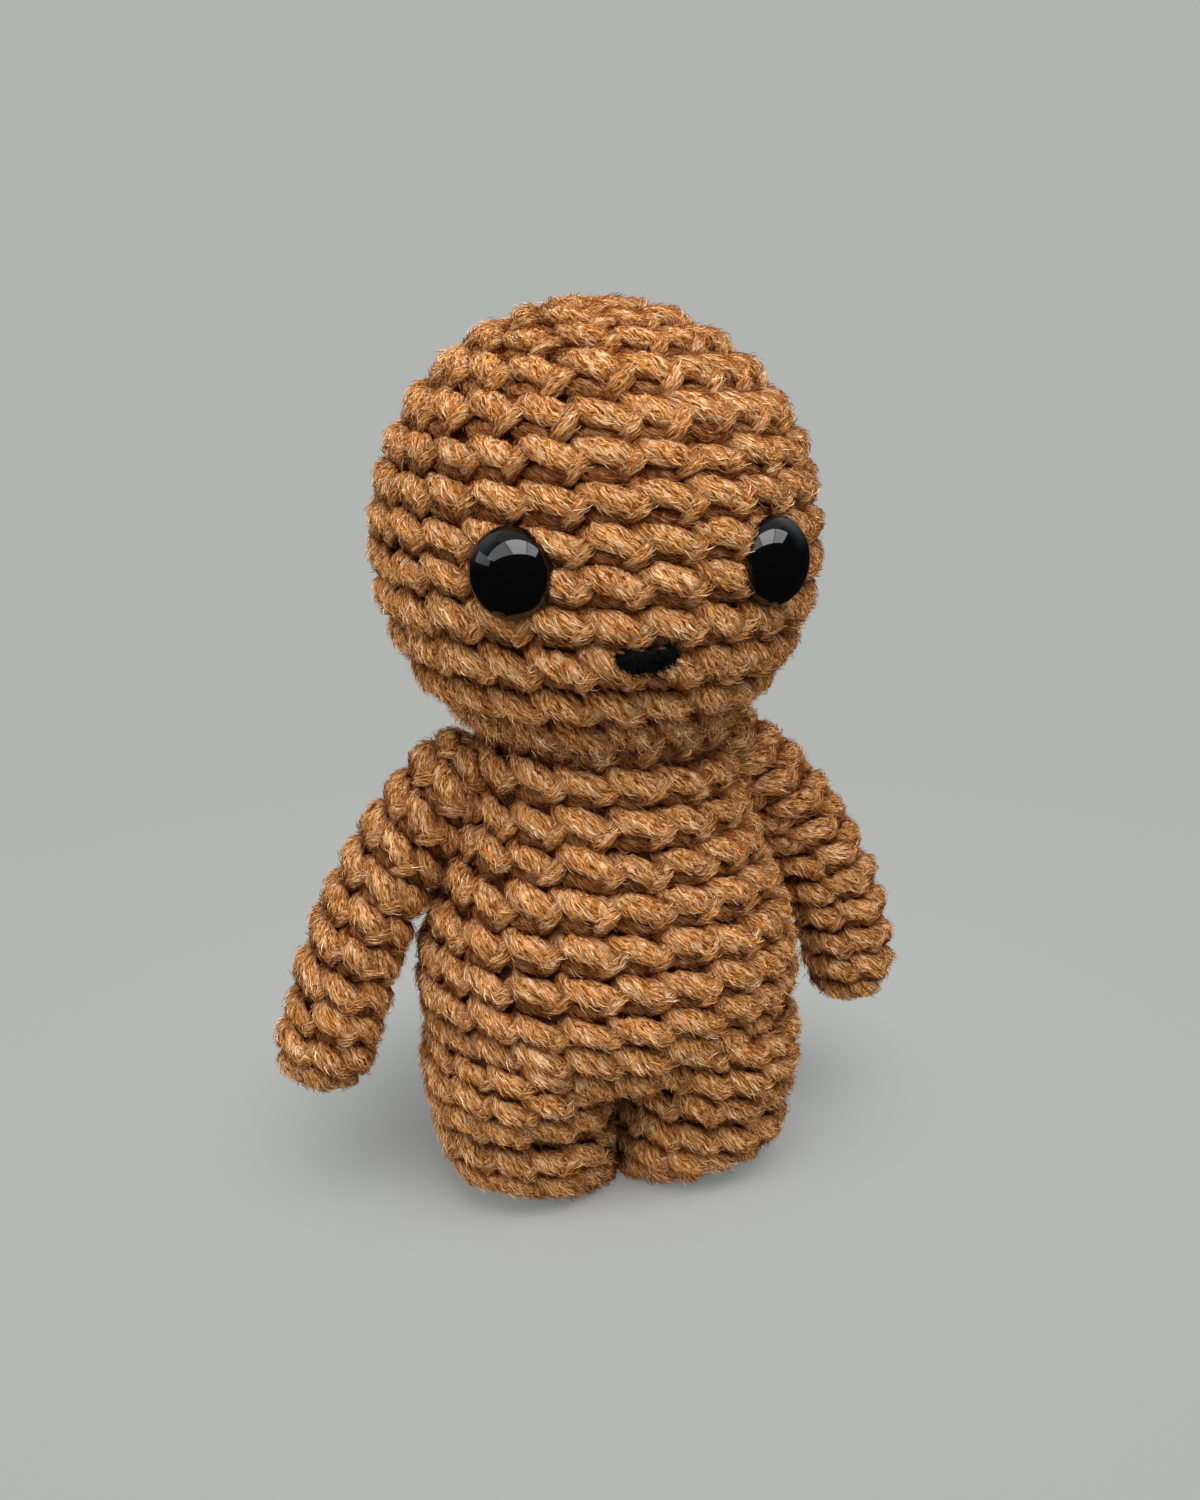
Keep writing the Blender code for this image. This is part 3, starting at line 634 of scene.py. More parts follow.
def plied_yarn_group():
    """Turns curves into twisted yarn with loose fibres, and lays out its map for baking."""
    if "plied_yarn" in bpy.data.node_groups:
        return bpy.data.node_groups["plied_yarn"]
    tree, source = new_tree("plied_yarn", YARN_INPUTS)
    spline = add(tree, "GeometryNodeSplineParameter")
    piece = add(tree, "GeometryNodeInputIndex").outputs[0]
    strand = add(
        tree, "GeometryNodeCurveOfPoint", {"Point Index": piece}
    ).outputs["Curve Index"]
    scatter = add(tree, "FunctionNodeRandomValue", {"ID": strand, "Seed": source["Seed"]}, data_type="FLOAT")
    offset = calc(tree, "MULTIPLY", scatter.outputs[1], 6.283)
    turned = calc(tree, "DIVIDE", spline.outputs["Length"], source["Lay"])
    tilt = calc(tree, "ADD", calc(tree, "MULTIPLY", turned, 6.283), offset)
    upright = add(tree, "GeometryNodeSetCurveNormal", {"Curve": source["Geometry"], "Normal": named(tree, "outward")},
                  mode="FREE").outputs[0]
    curve = add(tree, "GeometryNodeSetCurveTilt", {"Curve": upright, "Tilt": tilt}).outputs[0]
    curve = store(tree, curve, "strand", strand, "INT")
    curve = store(tree, curve, "run", spline.outputs["Length"], "FLOAT")
    curve = store(tree, curve, "share", spline.outputs["Factor"], "FLOAT")
    curve = store(tree, curve, "way", add(tree, "GeometryNodeInputTangent").outputs[0])
    curve = store(tree, curve, "centre", add(tree, "GeometryNodeInputPosition").outputs[0])
    info = add(tree, "GeometryNodeObjectInfo", {"Object": source["Section"]})
    section = store(
        tree, info.outputs["Geometry"], "round", add(tree, "GeometryNodeSplineParameter").outputs["Factor"], "FLOAT"
    )
    # how far each point of the section lies from its middle: low in the grooves between plies, where the yarn's
    # material paints shade
    off_axis = calc(tree, "V_LENGTH", add(tree, "GeometryNodeInputPosition").outputs[0])
    section = store(tree, section, "groove", off_axis, "FLOAT")
    sweep = add(tree, "GeometryNodeCurveToMesh", {"Curve": curve, "Profile Curve": section, "Fill Caps": True})
    if "Scale" in sweep.inputs:
        tree.links.new(add(tree, "GeometryNodeInputRadius").outputs[0], sweep.inputs["Scale"])
    yarn = sweep.outputs[0]
    # fibre coordinates: along the strand, and round it without a seam
    angle = calc(tree, "MULTIPLY", named(tree, "round", "FLOAT"), 6.283)
    slide = calc(tree, "ADD", calc(tree, "DIVIDE", named(tree, "run", "FLOAT"), MM),
                 calc(tree, "MULTIPLY", named(tree, "strand", "FLOAT"), 17.3))
    fibre_place = add(
        tree, "ShaderNodeCombineXYZ",
        {0: slide, 1: calc(tree, "COSINE", angle), 2: calc(tree, "SINE", angle)},
    ).outputs[0]
    yarn = store(tree, yarn, "fibre_place", fibre_place)
    wool = add(tree, "ShaderNodeTexNoise", {
        "Vector": calc(tree, "V_MULTIPLY", named(tree, "fibre_place"), (0.55, 1.5, 1.5)), "Scale": 1.3, "Detail": 2.0
    }).outputs["Fac"]
    bulge = calc(tree, "MULTIPLY", calc(tree, "SUBTRACT", wool, 0.5), calc(tree, "MULTIPLY", source["Lumps"], 4.0))
    swell = scaled(tree, add(tree, "GeometryNodeInputNormal").outputs[0], bulge)
    off_centre = calc(tree, "V_SUBTRACT", add(tree, "GeometryNodeInputPosition").outputs[0], named(tree, "centre"))
    height = calc(tree, "V_DOT_PRODUCT", off_centre, named(tree, "outward"))
    press = calc(tree, "MULTIPLY", calc(tree, "MULTIPLY", height, source["Flatness"]), -1.0)
    height = calc(tree, "MULTIPLY", calc(tree, "ADD", height, press), 1 / MM)
    # how deep each point lies below the crochet's surface, which the yarn's material turns into painted shade
    yarn = store(tree, yarn, "depth", calc(tree, "SUBTRACT", named(tree, "depth", "FLOAT"), height), "FLOAT")
    swell = calc(tree, "V_ADD", swell, scaled(tree, named(tree, "outward"), press))
    yarn = add(tree, "GeometryNodeSetPosition", {"Geometry": yarn, "Offset": swell}).outputs[0]
    # the map for baking: one tile for each strand
    around = named(tree, "round", "FLOAT")
    face_mean = add(tree, "GeometryNodeFieldOnDomain", {0: around}, data_type="FLOAT", domain="FACE").outputs[0]
    wraps = calc(tree, "GREATER_THAN", calc(tree, "SUBTRACT", face_mean, around), 0.3)
    around = calc(tree, "ADD", around, wraps)
    tile = named(tree, "strand", "FLOAT")
    across_tile = calc(tree, "FLOORED_MODULO", tile, source["Tiles"])
    up_tile = calc(tree, "FLOOR", calc(tree, "DIVIDE", tile, source["Tiles"]))
    across = calc(tree, "ADD", across_tile, calc(tree, "MULTIPLY_ADD", named(tree, "share", "FLOAT"), 0.84, 0.08))
    up = calc(tree, "ADD", up_tile, calc(tree, "MULTIPLY_ADD", around, 0.84, 0.08))
    bake = add(tree, "ShaderNodeCombineXYZ", {
        0: calc(tree, "DIVIDE", across, source["Tiles"]), 1: calc(tree, "DIVIDE", up, source["Tiles"])
    }).outputs[0]
    yarn = store(tree, yarn, "OFBake", bake, "FLOAT2", "CORNER")
    # loose fibres
    scattered = add(tree, "GeometryNodeDistributePointsOnFaces", {
        "Mesh": yarn, "Density": source["Fibre density"], "Seed": source["Seed"]
    })
    facing = calc(tree, "V_DOT_PRODUCT", scattered.outputs["Normal"], named(tree, "outward"))
    shown = calc(tree, "GREATER_THAN", facing, 0.1)
    apart = add(tree, "GeometryNodeSeparateGeometry", {"Geometry": scattered.outputs["Points"], "Selection": shown})
    normal = scattered.outputs["Normal"]
    spread = add(tree, "FunctionNodeRandomValue", {0: (-1, -1, -1), 1: (1, 1, 1), "Seed": 7}, data_type="FLOAT_VECTOR")
    loose = scaled(tree, spread.outputs[0], source["Fibre spread"])
    round_way = calc(tree, "V_CROSS_PRODUCT", named(tree, "way"), normal)
    lying = calc(tree, "V_ADD", named(tree, "way"), scaled(tree, round_way, source["Fibre slope"]))
    lift_node = add(tree, "FunctionNodeRandomValue", {"Seed": 9}, data_type="FLOAT")
    lift_amount = calc(tree, "MULTIPLY", calc(tree, "POWER", lift_node.outputs[1], 3.0), source["Fibre lift"])
    lifted = scaled(tree, normal, lift_amount)
    aside = scaled(tree, calc(tree, "V_SUBTRACT", named(tree, "outward"), normal), 0.45)
    direction = calc(tree, "V_ADD", calc(tree, "V_ADD", lying, loose), calc(tree, "V_ADD", lifted, aside))
    turn = add(tree, "FunctionNodeAxesToRotation", {"Primary Axis": direction, "Secondary Axis": normal},
               primary_axis="Z", secondary_axis="X").outputs[0]
    size = add(tree, "FunctionNodeRandomValue", {2: 0.4, 3: 1.2, "Seed": 11}, data_type="FLOAT")
    length = calc(tree, "MULTIPLY", size.outputs[1], source["Fibre length"])
    points = store(tree, apart.outputs[0], "fibre_turn", turn, "QUATERNION")
    tone = add(tree, "FunctionNodeRandomValue", {2: -9.0, 3: 11.0, "Seed": 13}, data_type="FLOAT")
    points = store(tree, points, "shade", tone.outputs[1], "FLOAT")
    fibre = add(tree, "GeometryNodeObjectInfo", {"Object": source["Fibre"]}).outputs["Geometry"]
    hairs = add(tree, "GeometryNodeInstanceOnPoints", {
        "Points": points, "Instance": fibre, "Rotation": turn, "Scale": length
    }).outputs[0]
    hairs = add(tree, "GeometryNodeRealizeInstances", {"Geometry": hairs}).outputs[0]
    thick = add(tree, "FunctionNodeRotateVector", {"Vector": named(tree, "side"), "Rotation": named(tree, "fibre_turn", "QUATERNION")}).outputs[0]
    thick = scaled(tree, thick, source["Fibre radius"])
    hairs = add(tree, "GeometryNodeSetPosition", {"Geometry": hairs, "Offset": thick}).outputs[0]
    both = add(tree, "GeometryNodeJoinGeometry")
    tree.links.new(hairs, both.inputs[0])
    tree.links.new(yarn, both.inputs[0])
    smooth = add(tree, "GeometryNodeSetShadeSmooth", {"Geometry": both.outputs[0]}).outputs[0]
    add(tree, "NodeGroupOutput", {"Geometry": smooth})
    return tree


def use_yarn_group(tree, source, curve):
    group = add(tree, "GeometryNodeGroup", node_tree=plied_yarn_group())
    tree.links.new(curve, group.inputs["Geometry"])
    for label, _, _ in YARN_INPUTS:
        tree.links.new(source[label], group.inputs[label])
    return group.outputs[0]


def finish_tree(tree, source, geometry, selection=True):
    whole = add(tree, "GeometryNodeRealizeInstances", {"Geometry": geometry}).outputs[0]
    links = {"Geometry": whole, "Material": source["Yarn"], "Selection": selection}
    done = add(tree, "GeometryNodeSetMaterial", links).outputs[0]
    add(tree, "NodeGroupOutput", {"Geometry": done})


def crochet_tree():
    """Puts the stitch's strands in every cell, lays them on the form and spins them into yarn."""
    if "crochet_rounds" in bpy.data.node_groups:
        return bpy.data.node_groups["crochet_rounds"]
    inputs = (
        ("Form", "NodeSocketObject", None),
        ("Stitch", "NodeSocketObject", None),
        ("Ground", "NodeSocketMaterial", None),
        ("Ground depth", "NodeSocketFloat", 2.5 * MM),
        ("Unevenness", "NodeSocketFloat", 0.3 * MM),
    ) + YARN_INPUTS
    tree, source = new_tree("crochet_rounds", inputs)
    stitch = add(tree, "GeometryNodeObjectInfo", {"Object": source["Stitch"]}).outputs["Geometry"]
    placed = add(tree, "GeometryNodeInstanceOnPoints", {"Points": source["Geometry"], "Instance": stitch}).outputs[0]
    curves = add(tree, "GeometryNodeRealizeInstances", {"Geometry": placed}).outputs[0]
    cell = add(tree, "ShaderNodeSeparateXYZ", {0: add(tree, "GeometryNodeInputPosition").outputs[0]}).outputs
    spans = []
    for name, amount in (("along", cell[0]), ("rise", cell[1])):
        spans.append(scaled(tree, named(tree, name), amount))
    place = calc(tree, "V_FRACTION", calc(tree, "V_ADD", calc(tree, "V_ADD", named(tree, "corner"), spans[0]), spans[1]))
    form = add(tree, "GeometryNodeObjectInfo", {"Object": source["Form"]}).outputs["Geometry"]
    sampled = []
    for kind in ("GeometryNodeInputPosition", "GeometryNodeInputNormal"):
        node = add(tree, "GeometryNodeSampleUVSurface", {
            "Mesh": form, "Value": add(tree, kind).outputs[0], "UV Map": named(tree, "rounds"), "Sample UV": place
        }, data_type="FLOAT_VECTOR")
        sampled.append(node.outputs[0])
    ground_height = calc(tree, "MULTIPLY", cell[2], MM)
    above = scaled(tree, sampled[1], ground_height)
    curves = store(tree, curves, "outward", sampled[1])
    # moved only after the outward direction is stored, because both read the cell coordinates
    curves = store(tree, curves, "target", calc(tree, "V_ADD", sampled[0], above))
    # how deep the strand lies below the surface, for the painted shade in the yarn's material
    curves = store(tree, curves, "depth", calc(tree, "MULTIPLY", cell[2], -1.0), "FLOAT")
    moved = add(tree, "GeometryNodeSetPosition", {"Geometry": curves, "Position": named(tree, "target")}).outputs[0]
    noise = add(tree, "ShaderNodeTexNoise", {"Scale": 260.0, "Detail": 1.0}).outputs["Color"]
    wander = calc(tree, "V_SUBTRACT", noise, (0.5, 0.5, 0.5))
    wander = scaled(tree, wander, calc(tree, "MULTIPLY", source["Unevenness"], 3.0))
    moved = add(tree, "GeometryNodeSetPosition", {"Geometry": moved, "Offset": wander}).outputs[0]
    radius = calc(tree, "MULTIPLY", add(tree, "GeometryNodeInputRadius").outputs[0], named(tree, "size", "FLOAT"))
    radius = calc(tree, "MULTIPLY", radius, MM)
    moved = add(tree, "GeometryNodeSetCurveRadius", {"Curve": moved, "Radius": radius}).outputs[0]
    yarn = use_yarn_group(tree, source, moved)
    yarn = store(tree, yarn, "is_yarn", True, "BOOLEAN")
    # a sheet under the strands, coloured as painted shade: the form drawn in by the ground's depth
    down = calc(tree, "MULTIPLY", source["Ground depth"], -1.0)
    inside = scaled(tree, add(tree, "GeometryNodeInputNormal").outputs[0], down)
    ground = add(tree, "GeometryNodeSetPosition", {"Geometry": form, "Offset": inside}).outputs[0]
    ground = add(tree, "GeometryNodeSetMaterial", {"Geometry": ground, "Material": source["Ground"]}).outputs[0]
    both = add(tree, "GeometryNodeJoinGeometry")
    tree.links.new(ground, both.inputs[0])
    tree.links.new(yarn, both.inputs[0])
    finish_tree(tree, source, both.outputs[0], named(tree, "is_yarn", "BOOLEAN"))
    return tree


def set_inputs(modifier, values):
    """Sets a tree's named inputs by their sockets' identifiers."""
    for item in modifier.node_group.interface.items_tree:
        if item.item_type == "SOCKET" and item.in_out == "INPUT" and item.name in values:
            modifier[item.identifier] = values[item.name]


def bake_down(holder, name):
    """The evaluated result of the object's trees as a plain mesh of its own."""
    graph = bpy.context.evaluated_depsgraph_get()
    mesh = bpy.data.meshes.new_from_object(holder.evaluated_get(graph), depsgraph=graph)
    holder.modifiers.clear()
    bpy.data.objects.remove(holder)
    mesh.name = name
    made = bpy.data.objects.new(name, mesh)
    bpy.context.scene.collection.objects.link(made)
    return made


def yarn_values(material, seed, tiles):
    settings = bpy.context.scene.doll_yarn
    return {
        "Section": bpy.data.objects.get("ply_section") or ply_section(settings.plies),
        "Fibre": bpy.data.objects.get("loose_fibre") or fibre_object(),
        "Yarn": material,
        "Lay": settings.lay,
        "Fibre length": settings.fibre_length,
        "Fibre radius": settings.fibre_radius,
        "Fibre density": settings.fibre_density / MM**2,
        "Tiles": float(tiles),
        "Seed": seed,
    }


def crochet(name, form, start, edges, counts, keep, seed, **changes):
    """A crocheted piece on a form."""
    cells = stitch_cells(name + "_cells", form, start, edges, counts, keep, seed)
    strands = 3 * len(cells.data.vertices)
    modifier = cells.modifiers.new("crochet", "NODES")
    modifier.node_group = crochet_tree()
    values = yarn_values(yarn_material(), seed, int(sqrt(strands)) + 1)
    values["Form"] = form.object(name + "_form")
    values["Stitch"] = bpy.data.objects.get("stitch_strands") or stitch_object()
    values["Ground"] = ground_material()
    values["Unevenness"] = bpy.context.scene.doll_yarn.unevenness
    set_inputs(modifier, values | changes)
    made = bake_down(cells, name)
    print(name, len(made.data.vertices), "vertices", sum(len(p.vertices) - 2 for p in made.data.polygons), "triangles")
    return made


# Materials


def shader_tree(name):
    made = bpy.data.materials.new(name)
    made.use_nodes = True
    return made, made.node_tree, made.node_tree.nodes["Principled BSDF"]


def yarn_material():
    """Acrylic worsted yarn, spun and plied: matt, with fine streaks of fibres along each strand. The shade between
    fibres and the highlights on fibres are painted into the colour, and there is painted shade where the yarn lies
    deep or in a groove between plies.
    """
    name = "spun_acrylic_yarn"
    if name in bpy.data.materials:
        return bpy.data.materials[name]
    settings = bpy.context.scene.doll_yarn
    made, tree, shader = shader_tree(name)
    place = add(tree, "ShaderNodeAttribute", attribute_name="fibre_place").outputs["Vector"]
    shade = add(tree, "ShaderNodeAttribute", attribute_name="shade").outputs["Fac"]
    bend = add(tree, "ShaderNodeTexNoise", {"Vector": place, "Scale": 0.9, "Detail": 1.0}).outputs["Color"]
    bend = add(tree, "ShaderNodeVectorMath", {0: bend, 1: (0.5, 0.5, 0.5)}, operation="SUBTRACT").outputs[0]
    bend = add(tree, "ShaderNodeVectorMath", {0: bend, "Scale": 0.9}, operation="SCALE").outputs[0]
    place = add(tree, "ShaderNodeVectorMath", {0: place, 1: bend}, operation="ADD").outputs[0]
    stretched = add(tree, "ShaderNodeMapping", {"Vector": place, "Scale": (0.38, 2.6, 2.6)}).outputs[0]
    streaks = add(tree, "ShaderNodeTexNoise", {"Vector": stretched, "Scale": 2.2, "Detail": 3.0, "Roughness": 0.6})
    # painted shade and painted highlight: the streaks run from the shadow colour between fibres, through the yarn's
    # own colour, to the light colour of fibres that catch the light
    ramp = add(tree, "ShaderNodeValToRGB", {"Fac": streaks.outputs["Fac"]})
    ramp.color_ramp.elements[0].position = 0.36
    ramp.color_ramp.elements[0].color = (*settings.shadow_colour, 1)
    ramp.color_ramp.elements[1].position = 0.64
    ramp.color_ramp.elements[1].color = (*settings.light_colour, 1)
    middle = ramp.color_ramp.elements.new(0.5)
    middle.color = (*settings.colour, 1)
    value = add(tree, "ShaderNodeMath", {0: shade, 1: 0.05, 2: 1.0}, operation="MULTIPLY_ADD").outputs[0]
    toned = add(tree, "ShaderNodeHueSaturation", {"Value": value, "Color": ramp.outputs[0]}).outputs[0]
    # painted shade: the colour is mixed towards a deep red-brown where the yarn lies deep below the surface and in the
    # grooves between its plies
    depth = add(tree, "ShaderNodeAttribute", attribute_name="depth").outputs["Fac"]
    depth = add(tree, "ShaderNodeMapRange", {"Value": depth, "From Min": -0.1, "From Max": 1.5, "To Max": 0.8}).outputs[0]
    groove = add(tree, "ShaderNodeAttribute", attribute_name="groove").outputs["Fac"]
    groove = add(tree, "ShaderNodeMapRange", {
        "Value": groove, "From Min": 0.86, "From Max": 0.96, "To Min": 0.45, "To Max": 0.0
    }).outputs[0]
    depth = add(tree, "ShaderNodeMath", {0: depth, 1: groove}, operation="MAXIMUM").outputs[0]
    toned = add(tree, "ShaderNodeMix", {
        "Factor": depth, 6: toned, 7: (*linear("#602302"), 1)
    }, data_type="RGBA").outputs[2]
    tree.links.new(toned, shader.inputs["Base Color"])
    bump = add(tree, "ShaderNodeBump", {"Height": streaks.outputs["Fac"], "Strength": 0.9, "Distance": 0.35 * MM})
    tree.links.new(bump.outputs[0], shader.inputs["Normal"])
    shader.inputs["Roughness"].default_value = 0.78
    shader.inputs["Specular IOR Level"].default_value = 0.02
    shader.inputs["Sheen Weight"].default_value = 0.02
    shader.inputs["Sheen Tint"].default_value = (*linear("#E0A468"), 1)
    return made


def ground_material():
    """The inner side of crocheted acrylic, seen only between the strands: a sheet whose deep browns are painted shade
    for the fabric's depths, with a fine grain.
    """
    name = "crochet_ground"
    if name in bpy.data.materials:
        return bpy.data.materials[name]
    made, tree, shader = shader_tree(name)
    place = add(tree, "ShaderNodeTexCoord").outputs["Object"]
    noise = add(tree, "ShaderNodeTexNoise", {"Vector": place, "Scale": 1400.0, "Detail": 3.0})
    # painted shade: browns far darker than the yarn, for the shade between the strands
    ramp = add(tree, "ShaderNodeValToRGB", {"Fac": noise.outputs["Fac"]})
    ramp.color_ramp.elements[0].color = (*linear("#1A0B03"), 1)
    ramp.color_ramp.elements[1].color = (*linear("#6B3A16"), 1)
    tree.links.new(ramp.outputs[0], shader.inputs["Base Color"])
    bump = add(tree, "ShaderNodeBump", {"Height": noise.outputs["Fac"], "Strength": 0.6, "Distance": 0.3 * MM})
    tree.links.new(bump.outputs[0], shader.inputs["Normal"])
    shader.inputs["Roughness"].default_value = 0.95
    return made


def stuffing_material():
    """Polyester fibrefill: soft white, matt and cloudy."""
    name = "polyester_fibrefill"
    if name in bpy.data.materials:
        return bpy.data.materials[name]
    made, tree, shader = shader_tree(name)
    place = add(tree, "ShaderNodeTexCoord").outputs["Object"]
    noise = add(tree, "ShaderNodeTexNoise", {"Vector": place, "Scale": 500.0, "Detail": 6.0, "Distortion": 1.5})
    ramp = add(tree, "ShaderNodeValToRGB", {"Fac": noise.outputs["Fac"]})
    ramp.color_ramp.elements[0].color = (*linear("#D9D8D2"), 1)
    ramp.color_ramp.elements[1].color = (*linear("#F2F1EC"), 1)
    tree.links.new(ramp.outputs[0], shader.inputs["Base Color"])
    bump = add(tree, "ShaderNodeBump", {"Height": noise.outputs["Fac"], "Strength": 0.7, "Distance": 0.5 * MM})
    tree.links.new(bump.outputs[0], shader.inputs["Normal"])
    shader.inputs["Roughness"].default_value = 0.95
    shader.inputs["Sheen Weight"].default_value = 0.4
    return made


def eye_material():
    """Moulded and polished black plastic: a deep gloss with hardly any colour of its own."""
    name = "polished_black_plastic"
    if name in bpy.data.materials:
        return bpy.data.materials[name]
    settings = bpy.context.scene.doll_eyes
    made, tree, shader = shader_tree(name)
    place = add(tree, "ShaderNodeTexCoord").outputs["Object"]
    noise = add(tree, "ShaderNodeTexNoise", {"Vector": place, "Scale": 300.0, "Detail": 2.0})
    haze = add(tree, "ShaderNodeMapRange", {
        "Value": noise.outputs["Fac"], "To Min": settings.roughness * 0.7, "To Max": settings.roughness * 1.6
    }).outputs[0]
    tree.links.new(haze, shader.inputs["Roughness"])
    shader.inputs["Base Color"].default_value = (*settings.colour, 1)
    shader.inputs["Specular IOR Level"].default_value = 0.52
    return made


def washer_material():
    """Moulded polypropylene: milky white with a faint grain."""
    made, tree, shader = shader_tree("moulded_polypropylene")
    place = add(tree, "ShaderNodeTexCoord").outputs["Object"]
    noise = add(tree, "ShaderNodeTexNoise", {"Vector": place, "Scale": 900.0, "Detail": 3.0})
    ramp = add(tree, "ShaderNodeValToRGB", {"Fac": noise.outputs["Fac"]})
    ramp.color_ramp.elements[0].color = (*linear("#DAD9D3"), 1)
    ramp.color_ramp.elements[1].color = (*linear("#E9E8E3"), 1)
    tree.links.new(ramp.outputs[0], shader.inputs["Base Color"])
    shader.inputs["Roughness"].default_value = 0.42
    return made


# Pieces


def crochet_head():
    form = head_form()
    edges = form.share_at_arc(CROWN_ARCS)
    lowest = form.share_at_height(NECK_RIM_HEIGHT)
    made = crochet("head_crochet", form, HEAD_START, edges, CROWN_COUNTS, lambda middle: middle[1] < lowest, 11)
    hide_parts("head_cover")
    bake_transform(made)
    return made


def crochet_neck():
    form = neck_form()
    low, high = form.share_at_height([NECK_BASE_HEIGHT, NECK_RIM_HEIGHT])
    edges = form.share_at_height(NECK_HEIGHTS)
    # the yarn is fluffier where the head rubs on it
    changes = {"Fibre density": 11.0 / MM**2, "Fibre spread": 1.0, "Fibre slope": 0.2, "Fibre length": 1.8 * MM,
               "Fibre lift": 0.5, "Ground depth": 2.0 * MM}
    made = crochet(
        "neck_crochet", form, TORSO_START, edges, NECK_COUNTS, lambda middle: high <= middle[1] < low, 12, **changes
    )
    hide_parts("neck_cover")
    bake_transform(made)
    return made


def inside_leg(point, form):
    """How far inside the leg's ring at its height a point is, as a share of the ring."""
    share = form.share_at_height(point[2])
    centre = form.point(0, share) * 0.5 + form.point(0.5, share) * 0.5
    across = abs(form.point(0.25, share)[0] - centre[0])
    depth = abs(form.point(0.5, share)[1] - centre[1])
    return hypot((point[0] - centre[0]) / across, (point[1] - centre[1]) / depth)


def crochet_torso():
    form = torso_form()
    legs = [leg_form(side) for side in SIDES]
    edges = form.share_at_height(TORSO_HEIGHTS)
    top = form.share_at_height(NECK_BASE_HEIGHT)

    def keep(middle):
        point = form.point(middle[0], middle[1])
        if middle[1] < top:
            return False
        return point[2] > 20.5 * MM or min(inside_leg(point, leg) for leg in legs) > 0.86

    made = crochet("torso_crochet", form, TORSO_START, edges, TORSO_COUNTS, keep, 13)
    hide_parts("torso_cover")
    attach(made, "torso")
    return made


def crochet_leg(side):
    form = leg_form(side)
    edges = form.share_at_arc(LEG_ARCS)
    top = form.share_at_height(27 * MM)

    def keep(middle):
        point = form.point(middle[0], middle[1])
        width, depth = torso_halves(point[2]) if point[2] > CROTCH_HEIGHT + 1 * MM else (1 * MM, 1 * MM)
        return middle[1] < top and hypot(point[0] / width, point[1] / depth) > 0.86

    made = crochet("leg_crochet_" + side, form, LIMB_START, edges, LEG_COUNTS, keep, 14 + SIDES[side])
    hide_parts("leg_cover_" + side)
    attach(made, "torso")
    return made


def crochet_arm(side):
    form = arm_form(side)
    edges = form.share_at_arc(ARM_ARCS)
    made = crochet("arm_crochet_" + side, form, LIMB_START, edges, ARM_COUNTS, lambda middle: True, 24 + SIDES[side])
    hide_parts("arm_cover_" + side)
    # the sewn end stays put when the arm is lifted
    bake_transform(made)
    return made


def lathe(name, profile, steps=64):
    """A turned solid from (radius, height) points that start and end on the axis."""
    bm = bmesh.new()
    loops = []
    for radius, height in profile:
        if radius == 0:
            loops.append([bm.verts.new((0, 0, height))] * steps)
        else:
            turns = [2 * pi * i / steps for i in range(steps)]
            loops.append([bm.verts.new((radius * cos(t), radius * sin(t), height)) for t in turns])
    for low, high in zip(loops[:-1], loops[1:]):
        for i in range(steps):
            j = (i + 1) % steps
            bm.faces.new(dict.fromkeys((low[i], low[j], high[j], high[i])))
    bmesh.ops.recalc_face_normals(bm, faces=bm.faces)
    mesh = bpy.data.meshes.new(name)
    bm.to_mesh(mesh)
    bm.free()
    mesh.shade_smooth()
    mesh.set_sharp_from_angle(angle=radians(35))
    made = bpy.data.objects.new(name, mesh)
    bpy.context.scene.collection.objects.link(made)
    return made


def head_direction(azimuth, latitude):
    return Vector((sin(azimuth) * cos(latitude), -cos(azimuth) * cos(latitude), sin(latitude)))


def head_point(azimuth, latitude, lift):
    """A point this far above the surface of the head."""
    direction = head_direction(azimuth, latitude)
    flat = direction.xy.length / HEAD_RADIUS
    tall = direction.z / HEAD_HALF_HEIGHT
    return Vector((0, 0, HEAD_CENTRE_HEIGHT)) + direction * (1 / sqrt(flat**2 + tall**2) + lift)


def make_eye(side):
    profile = [(0, -SHANK_LENGTH), (SHANK_RADIUS, -SHANK_LENGTH + SHANK_TIP)]
    for i in range(RIB_COUNT):
        foot = -SHANK_LENGTH + SHANK_TIP + RIB_PITCH * (i + 1 / 2)
        profile.append((SHANK_RADIUS + RIB_DEPTH, foot))
        profile.append((SHANK_RADIUS, foot + RIB_PITCH / 2))
    profile += [(SHANK_RADIUS, 0), (EYE_RADIUS - EYE_RIM, 0)]
    for turn in np.linspace(-pi / 2, 0, 7)[1:]:
        profile.append((EYE_RADIUS - EYE_RIM + EYE_RIM * cos(turn), EYE_RIM + EYE_RIM * sin(turn)))
    for turn in np.linspace(0, pi / 2, 25)[1:]:
        profile.append((EYE_RADIUS * cos(turn), EYE_RIM + (EYE_DOME_HEIGHT - EYE_RIM) * sin(turn)))
    profile[-1] = (0, EYE_DOME_HEIGHT)
    made = lathe("eye_dome_" + side, profile)
    azimuth = SIDES[side] * EYE_AZIMUTH + EYE_ASKEW[side][0]
    latitude = EYE_LATITUDE + EYE_ASKEW[side][1]
    turn = head_direction(azimuth, latitude).to_track_quat("Z", "Y").to_matrix().to_4x4()
    # a hair narrower than tall, as such eyes are moulded
    made.data.transform(Matrix.Diagonal((0.94, 1.0, 1.0, 1.0)))
    made.data.transform(Matrix.Translation(head_point(azimuth, latitude, -EYE_SINK)) @ turn)
    made.data.materials.append(eye_material())
    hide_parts("eye_" + side)
    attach(made, "head")
    return made


